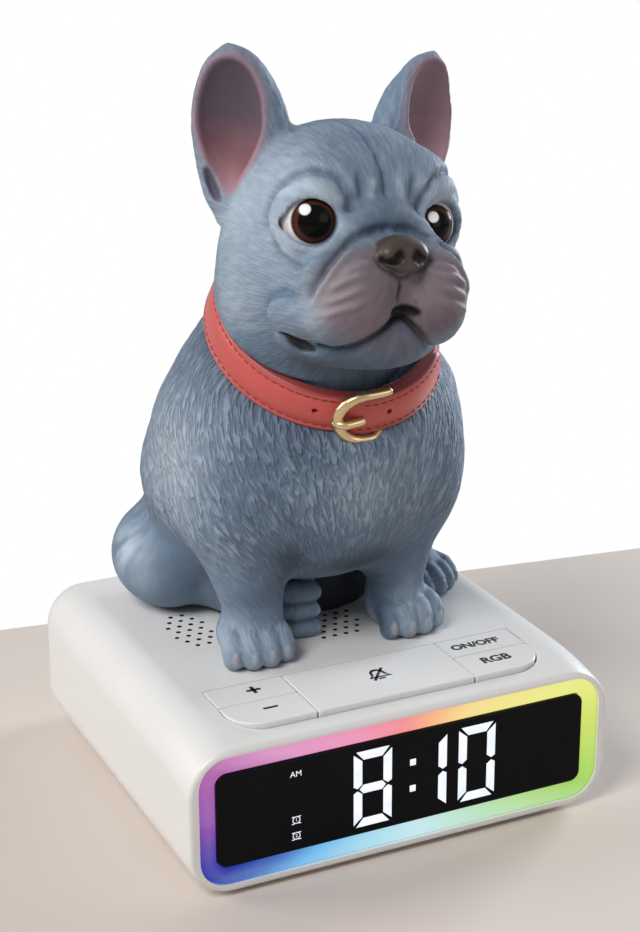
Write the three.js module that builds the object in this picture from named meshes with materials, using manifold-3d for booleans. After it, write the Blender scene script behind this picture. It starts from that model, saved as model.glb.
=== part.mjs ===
// Digital alarm clock: a white moulded case with a lit display window and five keys,
// and on its top a seated dog figure that wears a buckled collar.
// Millimetres, +Z up. The origin is on the table under the middle of the case, and the front looks along -Y.
import * as THREE from "three";
import { mergeVertices } from "three/addons/utils/BufferGeometryUtils.js";
import { edgeTable, triTable } from "three/addons/objects/MarchingCubes.js";
import Module from "manifold-3d";

// Case
const CASE_WIDTH = 112;
const CASE_DEPTH = 110;
const CASE_TOP = 40.2; // flat top above the table
const CASE_CORNER = 11; // radius of the long edges and of the back edges
const CASE_WALL = 2.4;
const FRONT_EDGE = 1.2; // rounding of the front edge
const FRONT_WALL = 6.4; // depth of the solid front that holds the window
const ROLL_LENGTH = 21; // the top rolls off over this length towards the front
const ROLL_DROP = 2.5; // and is this much lower at the front face
const FOOT_LIFT = 1.2; // gap between case and table

// Fits
const SLIDE_GAP = 0.35; // round a moving key
const KEY_REAR_GAP = 0.1; // behind the keys, where no seam shows
const SEAT_GAP = 0.05; // between flat faces that sit on each other
const FIT_GAP = 0.3; // between curved or turned faces that sit on each other

// Window and light rim in the front
const WINDOW_WIDTH = 97.8;
const WINDOW_HEIGHT = 24;
const WINDOW_CORNER = 2.6;
const WINDOW_MIDDLE = 19.7; // height of its centre above the table
const WINDOW_SET_BACK = 0.5; // behind the front face
const RIM_WIDTH = 4.1;
const RIM_CORNER = 7.5;
const RIM_DEPTH = 2.6;
const RIM_SET_BACK = 0.2;
const LIGHT_BOARD = 0.95; // thickness
const DISPLAY_WIDTH = 84; // light-emitting digit block
const DISPLAY_HEIGHT = 19;
const BOARD = 1.6; // thickness of the circuit boards

// Keys on the top
const PANEL_WIDTH = 83; // all keys together
const PANEL_DEPTH = 21;
const PANEL_FRONT = 5; // from the front face to the keys
const PANEL_CORNER = 8.5;
const SNOOZE_WIDTH = 42;
const FRONT_ROW = 11.5; // depth of the keys in the front row
const KEY_LIP = 1; // flange under the case top that holds a key in
const KEY_FLANGE = 1.2;
const KEY_STEM = 0.8;
const STEM_RADIUS = 2.5;
const KEY_TRAVEL = 0.7;
const SWITCH_SIZE = 4.5;
const SWITCH_HEIGHT = 3.5;
const PLUNGER_RADIUS = 1.2;
const PLUNGER_HEIGHT = 1.6; // above its switch
const PLUNGER_SINK = 1; // into its switch
const KEY_BOARD_SIDE = 6; // from a side face to the board's edge
const KEY_BOARD_REAR = 28; // from the front face to the board's rear edge
const KEY_POST_RADIUS = 2;

// Speaker and its holes
const HOLE_RADIUS = 0.65;
const HOLE_PITCH = 3.1;
const SIDE_PATCH = [31, 5.2]; // middle of a side patch of holes
const SIDE_PATCH_SPREAD = [1.75, 3.6]; // reach in pitches along X and Y
const MIDDLE_PATCH = [2.3, -4.6];
const MIDDLE_PATCH_SPREAD = [2.9, 3.6];
const SPEAKER_RADIUS = 20;
const SPEAKER_DEPTH = 16;
const SPEAKER_MIDDLE = 4; // place along Y
const MAGNET_RADIUS = 10;
const MAGNET_HEIGHT = 6;

// Bottom cover, feet, battery and boards
const COVER_WIDTH = 88;
const COVER_FRONT = 9; // from the front face
const COVER_REAR = 12; // from the back face
const COVER_CORNER = 6;
const COVER_THICKNESS = 2.5;
const BOSS_RADIUS = 4;
const BOSS_X = 39;
const BOSS_FRONT = 35; // from the front face to the front bosses
const BOSS_REAR = 18; // from the back face to the rear bosses
const SCREW_RADIUS = 1.5;
const SCREW_HEAD_RADIUS = 2.9;
const SCREW_HEAD = 1.3;
const SCREW_LENGTH = 9;
const FOOT_RADIUS = 5;
const FOOT_SINK = 0.8;
const FOOT_X = 36;
const FOOT_FRONT = 17;
const FOOT_REAR = 29;
const CELL_RADIUS = 10;
const CELL_HEIGHT = 3.2;
const CAP_RADIUS = 12.5;
const CAP_THICKNESS = 2;
const CAP_LUG = 1.2; // reach of the two bayonet lugs
const CAP_LUG_WIDTH = 5;
const COIN_SLOT = [14, 1.8, 0.9]; // length, width and depth
const WELL_WALL = 1.6;
const BATTERY_REAR = 35; // from the back face to the middle of the cap
const CONTACT = [6, 16, 0.4];
const MAIN_BOARD_WIDTH = 66;
const MAIN_BOARD_FRONT = 11;
const MAIN_BOARD_REAR = 4;
const MAIN_BOARD_HEIGHT = 16.4; // underside above the table
const MAIN_POST_X = 28;
const MAIN_POST_RADIUS = 2.2;
const SOCKET_WIDTH = 9;
const SOCKET_HEIGHT = 3.3;
const SOCKET_DEPTH = 7.4;
const SOCKET_WALL = 0.4;
const SOCKET_TONGUE = [6.6, 0.7, 4.8]; // width, height and length

// Figure. Heights are above the case top.
const FIGURE_SCREW_HEAD = 2;
const FIGURE_SCREW_LENGTH = 8; // into the figure
const BODY_CELL = 7.6; // mesh size of the body
const HEAD_CELL = 5.7;
const FORE_PAWS = [[-23, -15], [18.5, -14.5]];
const HAUNCHES = [[-28, 26], [27.5, 22]];
const PAW_SIZE = [8.4, 9, 6.6];
const TOES = [[-6.4, -5.2, 3.3], [-2.3, -8.2, 3.6], [2.3, -8.2, 3.6], [6.4, -5.2, 3.3]]; // x, y and half-width
const TOE_LENGTH = 5.6;
const TOE_HEIGHT = 4.6;
const TOE_LIFT = 3.6;
const HIND_PAW_SCALE = 0.9;
const HEAD_PIVOT = [0, -20, 108];
const HEAD_ROLL = 5; // degrees about Y
const EYE_RADIUS = 7;
const EYE_AT = [15.2, -33, 111.2];
const EAR_AT = [19.8, -8.5, 116.8];
const EAR_LEANS = [12.5, 17]; // left and right
const EAR_TURN = 20;
const EAR_FLATNESS = 1.6;
const NOSE_AT = [0.7, -47.5, 107.4];
const NOSE_SIZE = [6.1, 4.4, 3.9];
const NOSTRIL_X = 3.3;
const NOSTRIL_RADIUS = 1.5;
const COLLAR_AT = [1.5, -6.9, 80];
const COLLAR_TILT = 31; // degrees, front low
const COLLAR_ROLL = -4;
const COLLAR_RADII = [26.2, 28.8]; // middle of the strap
const STRAP_WIDTH = 10;
const STRAP_FLARE = 2; // the lower edge is this much wider than the upper one
const STRAP_THICKNESS = 3;
const SPIGOT_RADIUS = 12; // plug on the body that the head sits on
const SPIGOT_HEIGHT = 6;
const BUCKLE_WIDTH = 14;
const BUCKLE_HEIGHT = 15.6;
const BUCKLE_WIRE = 1.3; // radius
const BUCKLE_X = -4.4;
const PRONG_WIRE = 1.1;

// Places worked out from the sizes
const FRONT = -CASE_DEPTH / 2;
const BACK = CASE_DEPTH / 2;
const TOP_INSIDE = CASE_TOP - CASE_WALL;
const KEY_BOARD_WIDTH = CASE_WIDTH - 2 * KEY_BOARD_SIDE;
const BATTERY_Y = BACK - BATTERY_REAR;
const CAVITY_FRONT = FRONT + FRONT_WALL;
const COVER_TOP = FOOT_LIFT + COVER_THICKNESS;
const PANEL_Y0 = FRONT + PANEL_FRONT;
const PANEL_Y1 = PANEL_Y0 + PANEL_DEPTH;
const ROW_SPLIT = PANEL_Y0 + FRONT_ROW;
const FLANGE_TOP = TOP_INSIDE - rollDrop(PANEL_Y0) - SLIDE_GAP;
const FLANGE_BOTTOM = FLANGE_TOP - KEY_FLANGE;
const PLUNGER_TOP = FLANGE_BOTTOM - KEY_STEM - SEAT_GAP;
const SWITCH_TOP = PLUNGER_TOP - PLUNGER_HEIGHT;
const KEY_BOARD_TOP = SWITCH_TOP - SWITCH_HEIGHT - SEAT_GAP;
const RIM_INNER = WINDOW_WIDTH / 2 + FIT_GAP;
const RIM_BACK = FRONT + RIM_SET_BACK + RIM_DEPTH;
const LIGHT_BOARD_BACK = RIM_BACK + SEAT_GAP + LIGHT_BOARD;
const POCKET_FLOOR = LIGHT_BOARD_BACK + SEAT_GAP;
const CELL_BOTTOM = FOOT_LIFT + CAP_THICKNESS + FIT_GAP;
const CELL_TOP = CELL_BOTTOM + CELL_HEIGHT;
const CONTACT_BOTTOM = CELL_TOP + FIT_GAP;
const WELL_TOP = CONTACT_BOTTOM + CONTACT[2] + SEAT_GAP;
const LUG_BOTTOM = COVER_TOP + FIT_GAP;
const LUG_TOP = LUG_BOTTOM + 1;
const MAIN_BOARD_TOP = MAIN_BOARD_HEIGHT + BOARD;
const BOSSES = [];
const FEET = [];
for (const side of [-1, 1]) {
  BOSSES.push([side * BOSS_X, FRONT + BOSS_FRONT], [side * BOSS_X, BACK - BOSS_REAR]);
  FEET.push([side * FOOT_X, FRONT + FOOT_FRONT], [side * FOOT_X, BACK - FOOT_REAR]);
}
const FIGURE_SCREWS = [...FORE_PAWS, ...HAUNCHES];

const wasm = await Module();
wasm.setup();

// How far the case top has dropped below its flat height at a place along Y
function rollDrop(y) {
  const ahead = Math.max(-CASE_DEPTH / 2 + ROLL_LENGTH - y, 0);
  return ROLL_DROP * (ahead / ROLL_LENGTH) ** 2;
}

// Solids from geometries, and back

function solid(geometry) {
  const bare = geometry.clone();
  bare.deleteAttribute("normal");
  bare.deleteAttribute("uv");
  const merged = mergeVertices(bare, 1e-4);
  const corners = merged.index.array;
  const kept = [];
  for (let i = 0; i < corners.length; i += 3) {
    const [a, b, c] = corners.subarray(i, i + 3);
    if (a !== b && b !== c && c !== a) kept.push(a, b, c);
  }
  return new wasm.Manifold(new wasm.Mesh({
    numProp: 3,
    vertProperties: new Float32Array(merged.attributes.position.array),
    triVerts: new Uint32Array(kept),
  }));
}

function geometryOf(body) {
  const mesh = body.getMesh();
  const geometry = new THREE.BufferGeometry();
  geometry.setAttribute("position", new THREE.BufferAttribute(mesh.vertProperties, 3));
  geometry.setIndex(new THREE.BufferAttribute(mesh.triVerts, 1));
  geometry.computeVertexNormals();
  return geometry;
}

const join = (first, ...others) => others.reduce((sum, next) => sum.add(next), first);
const cut = (first, ...others) => others.reduce((sum, next) => sum.subtract(next), first);

// Closed surface through rings of equally many points, with end caps unless it closes on itself
function loft(rings, closed = false) {
  const count = rings[0].length;
  const points = rings.flat();
  const faces = [];
  const spans = closed ? rings.length : rings.length - 1;
  for (let i = 0; i < spans; i += 1) {
    const here = i * count;
    const next = ((i + 1) % rings.length) * count;
    for (let j = 0; j < count; j += 1) {
      const k = (j + 1) % count;
      faces.push(here + j, here + k, next + k, here + j, next + k, next + j);
    }
  }
  if (!closed) {
    const last = (rings.length - 1) * count;
    for (let j = 1; j < count - 1; j += 1) {
      faces.push(0, j + 1, j, last, last + j, last + j + 1);
    }
  }
  return surface(points, faces);
}

// Indexed geometry whose faces point out of the volume that they close
function surface(points, faces) {
  let volume = 0;
  const side = new THREE.Vector3();
  for (let i = 0; i < faces.length; i += 3) {
    const [a, b, c] = faces.slice(i, i + 3).map((index) => points[index]);
    volume += a.dot(side.crossVectors(b, c));
  }
  const outward = volume > 0 ? faces : faces.reverse();
  const geometry = new THREE.BufferGeometry().setFromPoints(points);
  geometry.setIndex(outward);
  return geometry;
}

function block(x0, x1, y0, y1, z0, z1) {
  const geometry = new THREE.BoxGeometry(x1 - x0, y1 - y0, z1 - z0);
  return geometry.translate((x0 + x1) / 2, (y0 + y1) / 2, (z0 + z1) / 2);
}

function drum(x, y, z0, z1, radius, sides = 20) {
  const geometry = new THREE.CylinderGeometry(radius, radius, z1 - z0, sides);
  return geometry.rotateX(Math.PI / 2).translate(x, y, (z0 + z1) / 2);
}

// Rectangle with a radius at each corner, given from the low corner anticlockwise
function roundedShape(x0, x1, y0, y1, radii) {
  const [a, b, c, d] = Array.isArray(radii) ? radii : [radii, radii, radii, radii];
  const shape = new THREE.Shape();
  shape.moveTo(x0 + a, y0);
  shape.lineTo(x1 - b, y0);
  if (b > 0) shape.absarc(x1 - b, y0 + b, b, -Math.PI / 2, 0);
  shape.lineTo(x1, y1 - c);
  if (c > 0) shape.absarc(x1 - c, y1 - c, c, 0, Math.PI / 2);
  shape.lineTo(x0 + d, y1);
  if (d > 0) shape.absarc(x0 + d, y1 - d, d, Math.PI / 2, Math.PI);
  shape.lineTo(x0, y0 + a);
  if (a > 0) shape.absarc(x0 + a, y0 + a, a, Math.PI, Math.PI * 1.5);
  return shape;
}

function slab(shape, z0, z1, curveSegments = 5) {
  const geometry = new THREE.ExtrudeGeometry(shape, { depth: z1 - z0, bevelEnabled: false, curveSegments });
  return geometry.translate(0, 0, z0);
}

// Rounded plate that stands in the front, from y0 to y1
function frontPlate(width, height, middle, corner, y0, y1, curveSegments = 5) {
  const shape = roundedShape(-width / 2, width / 2, middle - height / 2, middle + height / 2, corner);
  const geometry = new THREE.ExtrudeGeometry(shape, { depth: y1 - y0, bevelEnabled: false, curveSegments });
  return geometry.rotateX(Math.PI / 2).translate(0, y1, 0);
}

const radians = (degrees) => THREE.MathUtils.degToRad(degrees);

const group = new THREE.Group();
const figure = new THREE.Group();
figure.position.set(0, 0, CASE_TOP);
group.add(figure);

function piece(name, geometry, material, parent = group) {
  const mesh = new THREE.Mesh(geometry, new THREE.MeshStandardMaterial(material));
  mesh.name = name;
  parent.add(mesh);
  return mesh;
}

// Finishes
const CASE_WHITE = { color: 0xe6e4e1, roughness: 0.42, metalness: 0 };
const KEY_WHITE = { color: 0xe9e8e6, roughness: 0.4, metalness: 0 };
const WINDOW_BLACK = { color: 0x050507, roughness: 0.12, metalness: 0 };
const RIM_CLEAR = { color: 0xf2e9ee, roughness: 0.35, metalness: 0 };
const BOARD_GREEN = { color: 0x1d5a38, roughness: 0.55, metalness: 0 };
const BLACK_PLASTIC = { color: 0x17171a, roughness: 0.5, metalness: 0 };
const STEEL = { color: 0xb8bac0, roughness: 0.32, metalness: 1 };
const RUBBER = { color: 0x2a2a2d, roughness: 0.85, metalness: 0 };
const FUR_BLUE = { color: 0x77879a, roughness: 0.6, metalness: 0 };
const EYE_GLOSS = { color: 0x33201a, roughness: 0.08, metalness: 0 };
const LEATHER_RED = { color: 0xc8504b, roughness: 0.5, metalness: 0 };
const BRASS = { color: 0xc9a665, roughness: 0.28, metalness: 1 };

// Case

// Rounded section of the case across Y, offset inwards from the outside by the wall and by the edge rounding
function caseRing(y, offset, inset, cornerSteps) {
  const halfWidth = CASE_WIDTH / 2 - offset - inset;
  const low = FOOT_LIFT + offset + inset;
  const high = CASE_TOP - rollDrop(y) - offset - inset;
  const radius = Math.max(CASE_CORNER - offset - inset, FRONT_EDGE / 2);
  const ring = [];
  const corners = [[1, 1], [-1, 1], [-1, -1], [1, -1]];
  corners.forEach(([sx, sz], quarter) => {
    const x = sx * (halfWidth - radius);
    const z = sz > 0 ? high - radius : low + radius;
    for (let i = 0; i <= cornerSteps; i += 1) {
      const angle = (quarter + i / cornerSteps) * Math.PI / 2;
      ring.push(new THREE.Vector3(x + radius * Math.cos(angle), y, z + radius * Math.sin(angle)));
    }
  });
  return ring;
}

function caseLoft(offset, cornerSteps, edgeSteps) {
  const rings = [];
  if (offset === 0) {
    for (let i = edgeSteps; i > 0; i -= 1) {
      const angle = i / edgeSteps * Math.PI / 2;
      const y = FRONT + FRONT_EDGE * (1 - Math.sin(angle));
      rings.push(caseRing(y, 0, FRONT_EDGE * (1 - Math.cos(angle)), cornerSteps));
    }
  }
  const start = offset === 0 ? FRONT + FRONT_EDGE : CAVITY_FRONT;
  const end = FRONT + ROLL_LENGTH;
  const rollSteps = 4;
  for (let i = 0; i <= rollSteps; i += 1) {
    rings.push(caseRing(start + (end - start) * i / rollSteps, offset, 0, cornerSteps));
  }
  const radius = CASE_CORNER - offset;
  for (let i = 0; i <= edgeSteps + 2; i += 1) {
    const angle = i / (edgeSteps + 2) * Math.PI / 2;
    const y = BACK - CASE_CORNER + radius * Math.sin(angle);
    rings.push(caseRing(y, offset, radius * (1 - Math.cos(angle)), cornerSteps));
  }
  return solid(loft(rings));
}

function panelShape(gap, rearGap, lip) {
  const half = PANEL_WIDTH / 2 + gap + lip;
  const corner = PANEL_CORNER + gap + lip;
  return roundedShape(-half, half, PANEL_Y0 - gap, PANEL_Y1 + rearGap + lip, [corner, corner, 0, 0]);
}

// Staggered holes inside an oval patch
function patchHoles([x0, y0], [reachX, reachY]) {
  const holes = [];
  for (let row = -Math.floor(reachY); row <= reachY; row += 1) {
    const shift = Math.abs(row) % 2 === 1 ? 0.5 : 0;
    for (let column = -Math.ceil(reachX) - shift; column <= reachX; column += 1) {
      if ((column / reachX) ** 2 + (row / reachY) ** 2 <= 1) {
        holes.push([x0 + column * HOLE_PITCH, y0 + row * HOLE_PITCH]);
      }
    }
  }
  return holes;
}

function upperCase() {
  const shell = cut(caseLoft(0, 5, 3), caseLoft(CASE_WALL, 2, 1));
  const bosses = BOSSES.map(([x, y]) => solid(drum(x, y, COVER_TOP + SEAT_GAP, TOP_INSIDE + CASE_WALL / 4, BOSS_RADIUS, 10)));
  const posts = [-1, 1].map((side) => {
    const x = side * (KEY_BOARD_WIDTH / 2 - KEY_POST_RADIUS);
    return solid(drum(x, ROW_SPLIT, KEY_BOARD_TOP + SEAT_GAP, TOP_INSIDE + CASE_WALL / 8, KEY_POST_RADIUS, 8));
  });
  const rim = RIM_INNER + RIM_WIDTH + FIT_GAP / 2;
  const rimHeight = WINDOW_HEIGHT + 2 * (RIM_WIDTH + FIT_GAP * 1.5);
  const pocket = frontPlate(2 * rim, rimHeight, WINDOW_MIDDLE, RIM_CORNER + FIT_GAP / 2, FRONT - 1, POCKET_FLOOR);
  const displayHole = block(
    -DISPLAY_WIDTH / 2 - FIT_GAP, DISPLAY_WIDTH / 2 + FIT_GAP, POCKET_FLOOR - 1, CAVITY_FRONT + 1,
    WINDOW_MIDDLE - DISPLAY_HEIGHT / 2 - FIT_GAP, WINDOW_MIDDLE + DISPLAY_HEIGHT / 2 + FIT_GAP,
  );
  const keyHole = slab(panelShape(SLIDE_GAP, KEY_REAR_GAP, 0), FLANGE_BOTTOM - KEY_TRAVEL - SLIDE_GAP, CASE_TOP + 1);
  const coverHole = slab(coverShape(FIT_GAP), FOOT_LIFT - 1, FOOT_LIFT + CASE_WALL + 1);
  const socketHole = socketShell(SOCKET_WIDTH + 2 * FIT_GAP, SOCKET_HEIGHT + 2 * FIT_GAP, CASE_WALL + 2, BACK + 1);
  const holes = [
    ...patchHoles([-SIDE_PATCH[0], SIDE_PATCH[1]], SIDE_PATCH_SPREAD),
    ...patchHoles(SIDE_PATCH, SIDE_PATCH_SPREAD),
    ...patchHoles(MIDDLE_PATCH, MIDDLE_PATCH_SPREAD),
  ].map(([x, y]) => solid(drum(x, y, TOP_INSIDE - 1, CASE_TOP + 1, HOLE_RADIUS, 5)));
  const screwHoles = FIGURE_SCREWS.map(([x, y]) => {
    return solid(drum(x, y, TOP_INSIDE - 1, CASE_TOP + 1, SCREW_RADIUS + FIT_GAP, 8));
  });
  const pilots = BOSSES.map(([x, y]) => {
    return solid(drum(x, y, COVER_TOP - 1, COVER_TOP + SCREW_LENGTH, SCREW_RADIUS + FIT_GAP, 8));
  });
  const filled = join(shell, ...bosses, ...posts);
  const openings = [pocket, displayHole, keyHole, coverHole, socketHole].map(solid);
  return geometryOf(cut(filled, ...openings, ...holes, ...screwHoles, ...pilots));
}

piece("upper_case", upperCase(), CASE_WHITE);

// Front: light rim, window, digit block and their boards

function rimRing(y0, y1, corner, slack) {
  const width = 2 * (RIM_INNER + RIM_WIDTH - slack);
  const height = WINDOW_HEIGHT + 2 * (RIM_WIDTH + FIT_GAP - slack);
  const outer = solid(frontPlate(width, height, WINDOW_MIDDLE, corner, y0, y1));
  const innerHeight = WINDOW_HEIGHT + 2 * FIT_GAP;
  const inner = frontPlate(2 * RIM_INNER, innerHeight, WINDOW_MIDDLE, WINDOW_CORNER + FIT_GAP, y0 - 1, y1 + 1, 3);
  return cut(outer, solid(inner));
}

piece("light_frame", geometryOf(rimRing(FRONT + RIM_SET_BACK, RIM_BACK, RIM_CORNER, 0)), RIM_CLEAR);
const lightBoard = rimRing(RIM_BACK + SEAT_GAP, LIGHT_BOARD_BACK, RIM_CORNER, FIT_GAP);
piece("light_board", geometryOf(lightBoard), BOARD_GREEN);
const windowPlate = frontPlate(
  WINDOW_WIDTH, WINDOW_HEIGHT, WINDOW_MIDDLE, WINDOW_CORNER, FRONT + WINDOW_SET_BACK, POCKET_FLOOR - SEAT_GAP, 3,
);
piece("display_window", windowPlate, WINDOW_BLACK);
const displayBack = CAVITY_FRONT + SEAT_GAP;
const digitBlock = block(
  -DISPLAY_WIDTH / 2, DISPLAY_WIDTH / 2, POCKET_FLOOR + SEAT_GAP, displayBack - SEAT_GAP,
  WINDOW_MIDDLE - DISPLAY_HEIGHT / 2, WINDOW_MIDDLE + DISPLAY_HEIGHT / 2,
);
piece("digit_block", digitBlock, BLACK_PLASTIC);
const displayBoard = block(
  -WINDOW_WIDTH / 2 + RIM_WIDTH / 2, WINDOW_WIDTH / 2 - RIM_WIDTH / 2, displayBack, displayBack + BOARD,
  WINDOW_MIDDLE - WINDOW_HEIGHT / 2, WINDOW_MIDDLE + WINDOW_HEIGHT / 2,
);
piece("display_board", displayBoard, BOARD_GREEN);

// Keys, each with its switch below it

// Plan of a key: its borders with a gap on each side, and rounded where it has a front corner of the panel
function keyPlan({ x0, x1, y0, y1 }, lip) {
  const half = PANEL_WIDTH / 2;
  const between = SLIDE_GAP / 2;
  const atLeft = x0 === -half;
  const atRight = x1 === half;
  const atFront = y0 === PANEL_Y0;
  const atRear = y1 === PANEL_Y1;
  const left = atLeft ? x0 - lip : x0 + between;
  const right = atRight ? x1 + lip : x1 - between;
  const front = atFront ? y0 : y0 + between;
  const rear = atRear ? y1 + lip : y1 - between;
  const corner = PANEL_CORNER + lip;
  return roundedShape(left, right, front, rear, [atLeft && atFront ? corner : 0, atRight && atFront ? corner : 0, 0, 0]);
}

const panelHalf = PANEL_WIDTH / 2;
const snoozeHalf = SNOOZE_WIDTH / 2;
const KEYS = {
  plus: { x0: -panelHalf, x1: -snoozeHalf, y0: ROW_SPLIT, y1: PANEL_Y1 },
  minus: { x0: -panelHalf, x1: -snoozeHalf, y0: PANEL_Y0, y1: ROW_SPLIT },
  snooze: { x0: -snoozeHalf, x1: snoozeHalf, y0: PANEL_Y0, y1: PANEL_Y1 },
  power: { x0: snoozeHalf, x1: panelHalf, y0: ROW_SPLIT, y1: PANEL_Y1 },
  rgb: { x0: snoozeHalf, x1: panelHalf, y0: PANEL_Y0, y1: ROW_SPLIT },
};

const keySides = (key) => [(key.x0 + key.x1) / 2, (key.y0 + key.y1) / 2];

function keyCap(key) {
  const [x, y] = keySides(key);
  const cap = solid(slab(keyPlan(key, 0), FLANGE_BOTTOM, CASE_TOP));
  const flange = solid(slab(keyPlan(key, KEY_LIP), FLANGE_BOTTOM, FLANGE_TOP));
  const stem = solid(drum(x, y, FLANGE_BOTTOM - KEY_STEM, FLANGE_BOTTOM + KEY_FLANGE, STEM_RADIUS, 10));
  return geometryOf(join(cap, flange, stem));
}

function switchBody(key) {
  const [x, y] = keySides(key);
  const half = SWITCH_SIZE / 2;
  const bottom = SWITCH_TOP - SWITCH_HEIGHT;
  const body = solid(block(x - half, x + half, y - half, y + half, bottom, SWITCH_TOP));
  const well = solid(drum(x, y, SWITCH_TOP - PLUNGER_SINK - KEY_TRAVEL - FIT_GAP, SWITCH_TOP + 1, PLUNGER_RADIUS + FIT_GAP, 10));
  return geometryOf(cut(body, well));
}

for (const [name, key] of Object.entries(KEYS)) {
  const [x, y] = keySides(key);
  piece(`${name}_key`, keyCap(key), KEY_WHITE);
  piece(`${name}_switch`, switchBody(key), BLACK_PLASTIC);
  piece(`${name}_plunger`, drum(x, y, SWITCH_TOP - PLUNGER_SINK, PLUNGER_TOP, PLUNGER_RADIUS, 10), BLACK_PLASTIC);
}

const keyBoard = block(
  -KEY_BOARD_WIDTH / 2, KEY_BOARD_WIDTH / 2, displayBack + BOARD + FIT_GAP, FRONT + KEY_BOARD_REAR,
  KEY_BOARD_TOP - BOARD, KEY_BOARD_TOP,
);
piece("key_board", keyBoard, BOARD_GREEN);

// Speaker under the case top

function lathe(profile, y, sides) {
  const points = profile.map(([radius, z]) => new THREE.Vector2(radius, z));
  return geometryOf(solid(new THREE.LatheGeometry(points, sides).rotateX(Math.PI / 2).translate(0, y, 0)));
}

const speakerTop = TOP_INSIDE - SEAT_GAP;
const speakerBottom = speakerTop - SPEAKER_DEPTH;
const basketBottom = speakerBottom + MAGNET_HEIGHT + SEAT_GAP;
const basketWall = 1.2;
const speakerFrame = [
  [0, basketBottom], [MAGNET_RADIUS, basketBottom], [SPEAKER_RADIUS, speakerTop - 2 * basketWall],
  [SPEAKER_RADIUS, speakerTop], [SPEAKER_RADIUS - 3, speakerTop], [SPEAKER_RADIUS - 3, speakerTop - 2 * basketWall],
  [MAGNET_RADIUS - 1, basketBottom + basketWall], [0, basketBottom + basketWall],
];
const coneRim = SPEAKER_RADIUS - 3 - FIT_GAP;
const coneFloor = basketBottom + basketWall + FIT_GAP;
const speakerCone = [
  [0, coneFloor], [MAGNET_RADIUS - 2, coneFloor], [coneRim, speakerTop - basketWall],
  [coneRim, speakerTop - basketWall / 2], [MAGNET_RADIUS - 3, coneFloor + basketWall], [0, coneFloor + basketWall],
];
piece("speaker_frame", lathe(speakerFrame, SPEAKER_MIDDLE, 20), BLACK_PLASTIC);
piece("speaker_cone", lathe(speakerCone, SPEAKER_MIDDLE, 20), BLACK_PLASTIC);
piece("speaker_magnet", drum(0, SPEAKER_MIDDLE, speakerBottom, basketBottom - SEAT_GAP, MAGNET_RADIUS, 18), STEEL);

// Bottom cover with feet, screws, battery and the main board on it

function coverShape(grow) {
  const half = COVER_WIDTH / 2 + grow;
  return roundedShape(-half, half, FRONT + COVER_FRONT - grow, BACK - COVER_REAR + grow, COVER_CORNER + grow);
}

const wellRadius = CAP_RADIUS + CAP_LUG + 2 * FIT_GAP;
const mainPosts = [];
for (const side of [-1, 1]) {
  const x = side * MAIN_POST_X;
  mainPosts.push([x, FRONT + MAIN_BOARD_FRONT + 8], [x, BACK - COVER_REAR - 5]);
}

function lugs(turn, reach, width, z0, z1) {
  const bar = block(-reach, reach, -width / 2, width / 2, z0, z1);
  return solid(bar.rotateZ(radians(turn)).translate(0, BATTERY_Y, 0));
}

function bottomCover() {
  const plate = solid(slab(coverShape(0), FOOT_LIFT, COVER_TOP, 4));
  const posts = mainPosts.map(([x, y]) => {
    return solid(drum(x, y, COVER_TOP - 1, MAIN_BOARD_HEIGHT - SEAT_GAP, MAIN_POST_RADIUS, 8));
  });
  const well = solid(drum(0, BATTERY_Y, COVER_TOP - 1, WELL_TOP + WELL_WALL, wellRadius + WELL_WALL, 18));
  const wellInside = solid(drum(0, BATTERY_Y, COVER_TOP, WELL_TOP, wellRadius, 18));
  const capHole = solid(drum(0, BATTERY_Y, FOOT_LIFT - 1, COVER_TOP + 1, CAP_RADIUS + FIT_GAP, 24));
  const lugSlots = lugs(90, CAP_RADIUS + CAP_LUG + FIT_GAP, CAP_LUG_WIDTH + 2 * FIT_GAP, FOOT_LIFT - 1, COVER_TOP + 1);
  const footPockets = FEET.map(([x, y]) => {
    return solid(drum(x, y, FOOT_LIFT - 1, FOOT_LIFT + FOOT_SINK, FOOT_RADIUS + FIT_GAP, 14));
  });
  const screwHoles = BOSSES.flatMap(([x, y]) => [
    solid(drum(x, y, FOOT_LIFT - 1, COVER_TOP + 1, SCREW_RADIUS + FIT_GAP, 8)),
    solid(drum(x, y, FOOT_LIFT - 1, FOOT_LIFT + SCREW_HEAD + SEAT_GAP, SCREW_HEAD_RADIUS + FIT_GAP, 12)),
  ]);
  const filled = join(plate, ...posts, well);
  return geometryOf(cut(filled, wellInside, capHole, lugSlots, ...footPockets, ...screwHoles));
}

piece("bottom_cover", bottomCover(), CASE_WHITE);

function screw(x, y, tip, headTop, headHeight, down) {
  const shank = solid(drum(x, y, Math.min(tip, headTop), Math.max(tip, headTop), SCREW_RADIUS, 8));
  const headEnd = headTop + (down ? -headHeight : headHeight);
  const head = drum(x, y, Math.min(headTop, headEnd), Math.max(headTop, headEnd), SCREW_HEAD_RADIUS, 12);
  return geometryOf(join(shank, solid(head)));
}

BOSSES.forEach(([x, y], index) => {
  const headTop = FOOT_LIFT + SCREW_HEAD;
  piece(`cover_screw_${index + 1}`, screw(x, y, COVER_TOP + SCREW_LENGTH - 1, headTop, SCREW_HEAD, true), STEEL);
});

FEET.forEach(([x, y], index) => {
  piece(`rubber_foot_${index + 1}`, drum(x, y, 0, FOOT_LIFT + FOOT_SINK - SEAT_GAP, FOOT_RADIUS, 14), RUBBER);
});

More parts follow.
